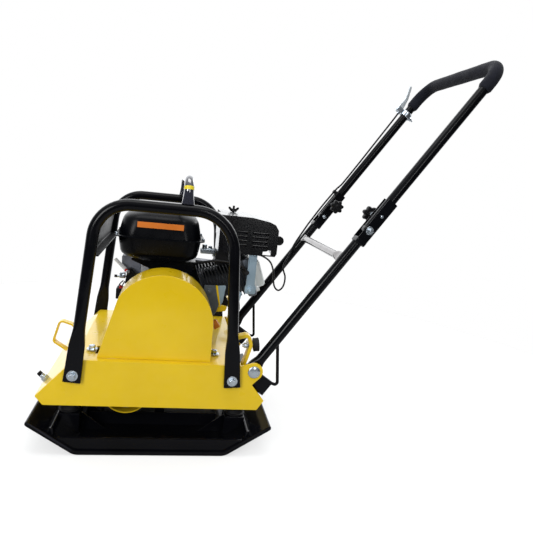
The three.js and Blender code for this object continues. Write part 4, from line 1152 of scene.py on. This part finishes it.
def exhaust():
    """The louvred hood, the silencer inside it and the strap that holds it."""
    hood = Shape().cad("muffler_guard", 0.9)
    for row in range(4):
        z = 456 + row * 10.5
        for x0, x1 in ((166, 190), (203, 242)):
            lip = [(x0, z + 4.2), (x1, z + 4.2), (x1, z + 6.4), (x0, z + 6.4)]
            hood.plate(lip, (-87.4, -85.6), 0.8)
    hood.made("louvred_hood", "black_sheet", "muffler_guard")
    can = domed_box(Shape(), (130, 250), (-76, -8), (446, 508), 14, 10, 6)
    can.rod(13, (424, 448), "Z", (170, -40, 0), 28)
    can.made("silencer", "dark_steel", "muffler")
    outline = [(197, 338), (225, 338), (225, 356), (221, 362), (221, 446), (200, 446), (200, 362), (197, 356)]
    strap = Shape().plate(rounded(outline, [6, 6, 6, 4, 1, 1, 4, 6]), (-76, -73), 0.9)
    strap.band([(201, 360), (201, 440)], 1.5, (-80, -75), 0.4)
    strap.bolt(11, (209, -76, 349), -1)
    strap.made("hood_strap", "blue_zinc", "muffler_stay")


def air_cleaner():
    tray = Shape().cad("air_cleaner_base", 0.8)
    tray.made("filter_tray", "black_plastic", "air_cleaner_base")
    Shape().cad("filter_element", 2.5).made("filter_block", "filter_foam", "filter_element")
    lid = Shape().cad("air_cleaner_cover", 1.6, segments=3)
    lid.made("filter_lid", "black_sheet", "air_cleaner_cover", body="cleaner_lid")
    hub = [(3.4, 529.3), (8, 529.3), (8.6, 531), (7, 537), (3.4, 537)]
    nut = Shape().turned(hub, "Z", (NUT_X, NUT_Y, 0), 28)
    for way in (-1, 1):
        wing = [(4, 530.5), (9, 532), (14, 537), (14, 542), (9, 541), (4, 536)]
        wing = [(NUT_X + way * x, z) for x, z in wing]
        nut.plate(rounded(wing, 2.5), (NUT_Y - 2, NUT_Y + 2), 1.2)
    nut.made("lid_wing_nut", "black_plastic", "wing_nut", body="lid_nut")


def carburettor():
    body = Shape().box((172, 208), (49, 83), (396, 431.6), 4, segments=3)
    body.turned([(0, 376), (12, 376), (15, 379), (15, 398), (0, 398)], "Z", (190, 66, 0), 32)
    body.rod(5, (206, 216), "X", (0, 66, 418), 18).rod(16, (428, 434), "Z", (190, 66, 0), 28)
    body.rod(4, (40, 50), "Y", (182, 0, 410), 16).rod(3, (83, 90), "Y", (198, 0, 420), 16)
    body.made("carburettor_body", "cast_alloy", "carburettor")
    lever = Shape().plate(rounded([(227, 429), (238, 429), (290, 463), (285, 471)], 3), (2.5, 5.5), 0.7)
    knob = [(0, 1), (10, 1), (11.6, 2), (12, 4), (12, 10), (11.6, 12), (10, 13), (0, 13)]
    lever.turned(knob, "Y", (288, 0, 467.5), 36)
    lever.made("choke_knob", "black_plastic", "choke_lever", body="choke")


def starter():
    x, z = CRANK
    shroud = Shape().cad("fan_housing", 1.4)
    shroud.made("cooling_shroud", "grey_plastic", "fan_housing")
    profile = [(0, 100.4), (80, 100.4), (82, 102), (82, 110), (78, 114), (66, 123), (58, 126), (30, 126),
               (28, 123), (12, 123), (0, 123)]
    dome = Shape().turned(profile, "Y", (x, 0, z), 56)
    for k in range(12):
        turn = placed((x, 0, z), k * 30)
        dome.plate(rounded([(36, -3), (60, -4), (60, 4), (36, 3)], 2), (124, 127.5), 0.7, turn)
    dome.box((-86, -66), (102, 122), (330, 352), 3)
    dome.made("recoil_housing", "black_plastic", "recoil_cover")
    place = placed((-87, 0, 345), 20)
    barrel = lambda t: (7 * (0.72 + 0.28 * math.sin(math.pi * t)), 7, 2.6)
    pull = Shape(place).sweep([(-18, y, 0) for y in range(92, 133, 4)], barrel)
    pull.rod(5, (-18, -2), "X", (0, 112, 0), 20)
    pull.made("pull_grip", "black_plastic", "recoil_grip", body="starter_pull")


def switchgear():
    """The stop switch, its wires and the speed control beside the tank."""
    Shape().cad("engine_switch", 0.9).made("switch_body", "black_plastic", "engine_switch")
    rocker = Shape().cad("switch_rocker", 0.8)
    rocker.made("stop_rocker_cap", "red_plastic", "switch_rocker", body="stop_rocker")
    routes = (
        (1.5, [(-103, 40, 327), (-111, 38, 318), (-114.5, 34, 306), (-112, 30, 296), (-106, 20, 287),
               (-90, 4, 280)]),
        (1.5, [(-99, 38, 326), (-106, 34, 310), (-104, 28, 300), (-97, 20, 296), (-84, 8, 300)]),
        (1.4, [(-92, -30, 300), (-98, -18, 286), (-100, -6, 276), (-92, 6, 270), (-78, 8, 274)]),
    )
    wires = Shape()
    for radius, route in routes:
        wires.wire(route, radius, 8, 8)
    wires.made("switch_wires", "cable_sheath")
    bits = Shape().box((-113, -98), (34, 48), (334, 348), 1.5).rod(2.6, (-121, -112), "X", (0, 41, 337), 14)
    bits.rod(4.5, (30, 50), "Y", (-92, 0, 352), 20).rod(3, (44, 52), "Y", (-84, 0, 336), 14)
    bits.bolt(9, (-101, 34, 341), -1, washer=False)
    bits.made("governor_block", "zinc")
    outline = [(-99, 318), (-88, 316), (-74, 346), (-86, 362), (-94, 356), (-97, 336)]
    holder = Shape().plate(rounded(outline, 2), (36, 52), 1)
    holder.rod(3.6, (-126, -119), "X", (0, 41, 337.5), 16).rod(3, (-80, -60), "X", (0, 44, 330), 14)
    holder.made("governor_holder", "black_plastic")
    rod = Shape().sweep([(-127, 44, 382), (-120, 43, 375.5), (-99.5, 40, 357)], even(2.4, 4.2, 4), 12)
    rod.made("control_rod", "clear_white")
    Shape().box((-102, -94), (36, 44), (351, 358), 1.5).made("rod_end_cap", "red_plastic")


def tank_covers():
    """The shroud's corner beside the tank and the closed belly below it."""
    outline = [(-112, 388), (-111, 365), (-90, 347), (-73, 341), (-45, 344), (-40, 396), (-66, 396)]
    corner = Shape().plate(rounded(outline, [3, 5, 6, 6, 2, 2, 10]), (59, 97), 2.2, segments=3)
    corner.made("shroud_corner", "grey_plastic")
    outline = [(-96, 397.5), (-44, 377), (-30, 369), (66, 369), (78, 397.5)]
    belly = Shape().plate(rounded(outline, [3, 6, 6, 8, 3]), (-18, 58), 2, segments=3)
    belly.made("tank_belly", "tank_plastic")


def oil_plug():
    plug = Shape(placed((134, -66, 254), -35))
    plug.rod(7, (-22, -6), "X", sides=24).box((-8, 8), (-10, 10), (-10, 10), 3)
    plug.made("oil_filler", "amber_plastic")


def side_plates():
    """Steel and yellow sheet between the belt guard and the cylinder, and the shroud behind it."""
    outline = [(98, 352), (125, 353), (139, 306), (128, 276), (98, 276)]
    side = Shape().plate(rounded(outline, [2, 3, 5, 8, 2]), (-70, -66), 1)
    side.bolt(8, (112, -70, 338), -1).bolt(8, (116, -70, 296), -1)
    side.made("side_shield", "steel_plate")
    outline = [(130, 352), (152, 354), (147, 312), (140, 296), (135, 306)]
    Shape().plate(rounded(outline, 3), (-68, -66), 0.7).made("air_guide", "blue_zinc")
    edge = Shape().plate(rounded([(126, 353), (131, 353), (142, 302), (137, 300)], 1), (-70, -68.2), 0.5)
    outline = [(124, 284), (156, 288), (160, 300), (144, 304), (126, 296)]
    edge.plate(rounded(outline, 3), (-66, -58), 1.5)
    edge.made("guide_edge", "yellow_paint")
    outline = [(100, 286), (158, 286), (166, 304), (150, 336), (100, 336)]
    lower = Shape().plate(rounded(outline, 5), (-40, 50), 2).box((120, 166), (-50, 10), (400, 437), 3)
    lower.made("lower_shroud", "black_plastic")
    lug = Shape().plate(rounded([(172, 345), (194, 338), (190, 316), (176, 302)], 3), (-62, -58), 1)
    lug.bolt(7, (184, -62, 330), -1).made("side_lug", "blue_zinc")


def intake():
    """The flange and elbow on top of the cylinder, behind the tank."""
    head = Shape().box((84, 120), (-34, -8), (424, 436), 2).rod(6, (434, 446), "Z", (94, -22, 0), 18)
    head.bolt(9, (108, -22, 436), 1, "Z").box((114, 128), (-30, -12), (418, 430), 2)
    head.made("intake_flange", "zinc")


crankcase()
crank_parts()
cylinder()
fuel_tank()
exhaust()
air_cleaner()
carburettor()
starter()
switchgear()
tank_covers()
oil_plug()
side_plates()
intake()


# ---------- handle ----------

def lower_handle():
    whole = 396

    def section(t):
        """Round tube, pressed flat round the pivot."""
        flat = ease((40 - t * whole) / 24)
        return (HANDLE_TUBE + 4.5 * flat, HANDLE_TUBE - 3 * flat, 2 + 3 * flat)

    for name, side in SIDES:
        y = side * ARM_Y
        arm = Shape(HANDLE)
        route = [(s, y, 0) for s in (-10, -4, 2, 8, 14, 20, 26, 32, 40, 120, 200, 280, 386)]
        arm.sweep(route, section, 28, (0, 1, 0))
        arm.box((-37, 3), (y - 4, y + 4), (-60, 0), 2)
        channel = [(-16, 12), (-16, -15), (16, -15), (16, 12), (13.4, 12), (13.4, -12.6), (-13.4, -12.6),
                   (-13.4, 12)]
        channel = rounded([(y + across, z) for across, z in channel], [1, 5, 5, 1, 1, 2, 2, 1])
        arm.plate(channel, (388, 500), 0.7, ACROSS)
        arm.box((378, 391), (y - 16, y + 16), (-15, 12), 3)
        arm.tube([(-3, -50), (3, -74), (82, -8)], 3.8, 6, y, sides=14, steps=6)
        arm.made(f"lower_tube_{name}", "black_paint", f"lower_arm_{name}", body="lower_handle")
        pin = Shape(HANDLE).rod(4, (y - 20, y + 20), "Y", (FOLD_AT, 0, 0), 20)
        pin.bolt(10, (FOLD_AT, y + side * 16.2, 0), side)
        pin.bolt(10, (FOLD_AT, y - side * 16.2, 0), -side, washer=False)
        pin.bolt(7, (LOCK_AT, y + side * 16.2, 0), side, washer=False)
        pin.made(f"fold_pin_{name}", "zinc", f"fold_bolt_{name}", body="lower_handle")

    reach = ARM_Y - HANDLE_TUBE - 0.3

    def pressed(t):
        run = min(t, 1 - t) * 2 * reach
        flat = ease((34 - run) / 26)
        return (10 + 2.5 * flat, 10 - 5 * flat, 2 + 4 * flat)

    count = 90
    route = [(CROSS_AT, reach * (2 * i / count - 1), 4) for i in range(count + 1)]
    cross = Shape(HANDLE).sweep(route, pressed, 28, (0, 0, 1))
    cross.made("chromed_crossbar", "chrome", "cross_tube", body="lower_handle")


def upper_handle():
    turn = Matrix(((1, 0, 0, 0), (0, 0, -1, 0), (0, 1, 0, 0), (0, 0, 0, 1)))
    corners = [(FOLD_AT, -ARM_Y), (HANDLE_END, -ARM_Y), (HANDLE_END, ARM_Y), (FOLD_AT, ARM_Y)]
    tube = Shape(HANDLE @ turn).tube(corners, HANDLE_TUBE, HANDLE_BEND, sides=28, steps=12)
    for _, side in SIDES:
        tube.rod(HANDLE_TUBE, span(side, ARM_Y - 8, ARM_Y + 8), "Y", (FOLD_AT, 0, 0), 28, 1.5,
                 turn.inverted())
    tube.made("operator_tube", "black_paint", "upper_handle", body="handle_top")

    line = rounded(corners, HANDLE_BEND, 14, closed=False)
    line[0].x = FOAM_START
    line[-1].x = FOAM_START
    whole = 2 * (HANDLE_END - FOAM_START) + 2 * ARM_Y - 0.86 * HANDLE_BEND

    def soft(t):
        """The sleeve's soft surface, rounded over at both ends."""
        run = min(t, 1 - t) * whole
        end = 1 - 0.20 * max(0, 1 - run / 5) ** 2
        r = FOAM_RADIUS * end * (1 + 0.008 * math.sin(run / 17) + 0.006 * math.sin(run / 7.3 + 1))
        return (r, r, 2)

    grip = Shape(HANDLE @ turn).bar(divided(line, 6), soft, sides=36)
    grip = grip.made("foam_sleeve", "grip_foam", "foam_grip", body="handle_top")


def star_knobs():
    """Seven-lobed knobs inside the handle, each on a stud that locks the fold."""
    lobes, sides = 7, 84
    levels = ((10, 126), (3, 126.6), (0.8, 128.5), (0, 132), (0, 137), (0.8, 140.5), (4, 142))
    centre = (LOCK_AT, 0, 0)
    for name, side in SIDES:
        rows = []
        for shrink, y in levels:
            row = []
            for k in range(sides):
                angle = k * math.tau / sides
                wave = 0.5 + 0.5 * math.cos(angle * lobes)
                r = 15.2 + 4.8 * wave ** 0.7 - shrink
                row.append((LOCK_AT + r * math.cos(angle), side * y, r * math.sin(angle)))
            rows.append(row)
        knob = Shape(HANDLE).take(skin(rows))
        outer_boss = [(0, 141), (9, 141), (8.6, 148), (7.5, 150), (0, 150)]
        inner_boss = [(0, 124.6), (5, 124.8), (6.5, 126), (0, 127)]
        for boss in (outer_boss, inner_boss):
            knob.turned([(r, side * y) for r, y in boss], "Y", centre, 28)
        knob.made(f"star_handwheel_{name}", "black_plastic", f"star_knob_{name}", body=f"knob_{name}")
        stud = Shape(HANDLE).rod(4, span(side, 149, 177.2), "Y", centre, 20)
        stud.rod(7, span(side, 150, 156), "Y", centre, 24)
        stud.made(f"star_stud_{name}", "zinc", body=f"knob_{name}")


def throttle():
    """The clamp on the far arm and its thumb lever."""
    clamp = Shape(HANDLE).ring(16, 12.3, (CLAMP_AT - 8, CLAMP_AT + 8), "X", (0, ARM_Y, 0), 36, 1)
    clamp.box((CLAMP_AT - 7, CLAMP_AT + 7), (ARM_Y - 6, ARM_Y + 1), (14, 34), 1.5)
    clamp.box((CLAMP_AT - 14, CLAMP_AT - 6), (ARM_Y - 6, ARM_Y + 1), (18, 26), 1.2)
    clamp.rod(2.6, (-28, -13), "Z", (CLAMP_AT, ARM_Y, 0), 16)
    clamp.hexagon(9, (-22, -16), "Z", (CLAMP_AT, ARM_Y, 0))
    clamp.made("throttle_bracket", "zinc", "throttle_clamp", body="handle_top")
    outline = [(-7, 20), (9, 17), (38, 23), (74, 39), (72, 46), (36, 32), (0, 34), (-7, 32)]
    outline = [(CLAMP_AT + s, n) for s, n in outline]
    lever = Shape(HANDLE).plate(rounded(outline, [5, 4, 8, 4, 4, 8, 5, 4]), (ARM_Y + 1.3, ARM_Y + 5), 1.2)
    lever.rod(8, (ARM_Y + 4, ARM_Y + 12), "Y", (CLAMP_AT, 0, 28), 32, 1.6)
    lever.made("thumb_lever", "bright_zinc", "throttle_lever", body="throttle")


lower_handle()
upper_handle()
star_knobs()
throttle()
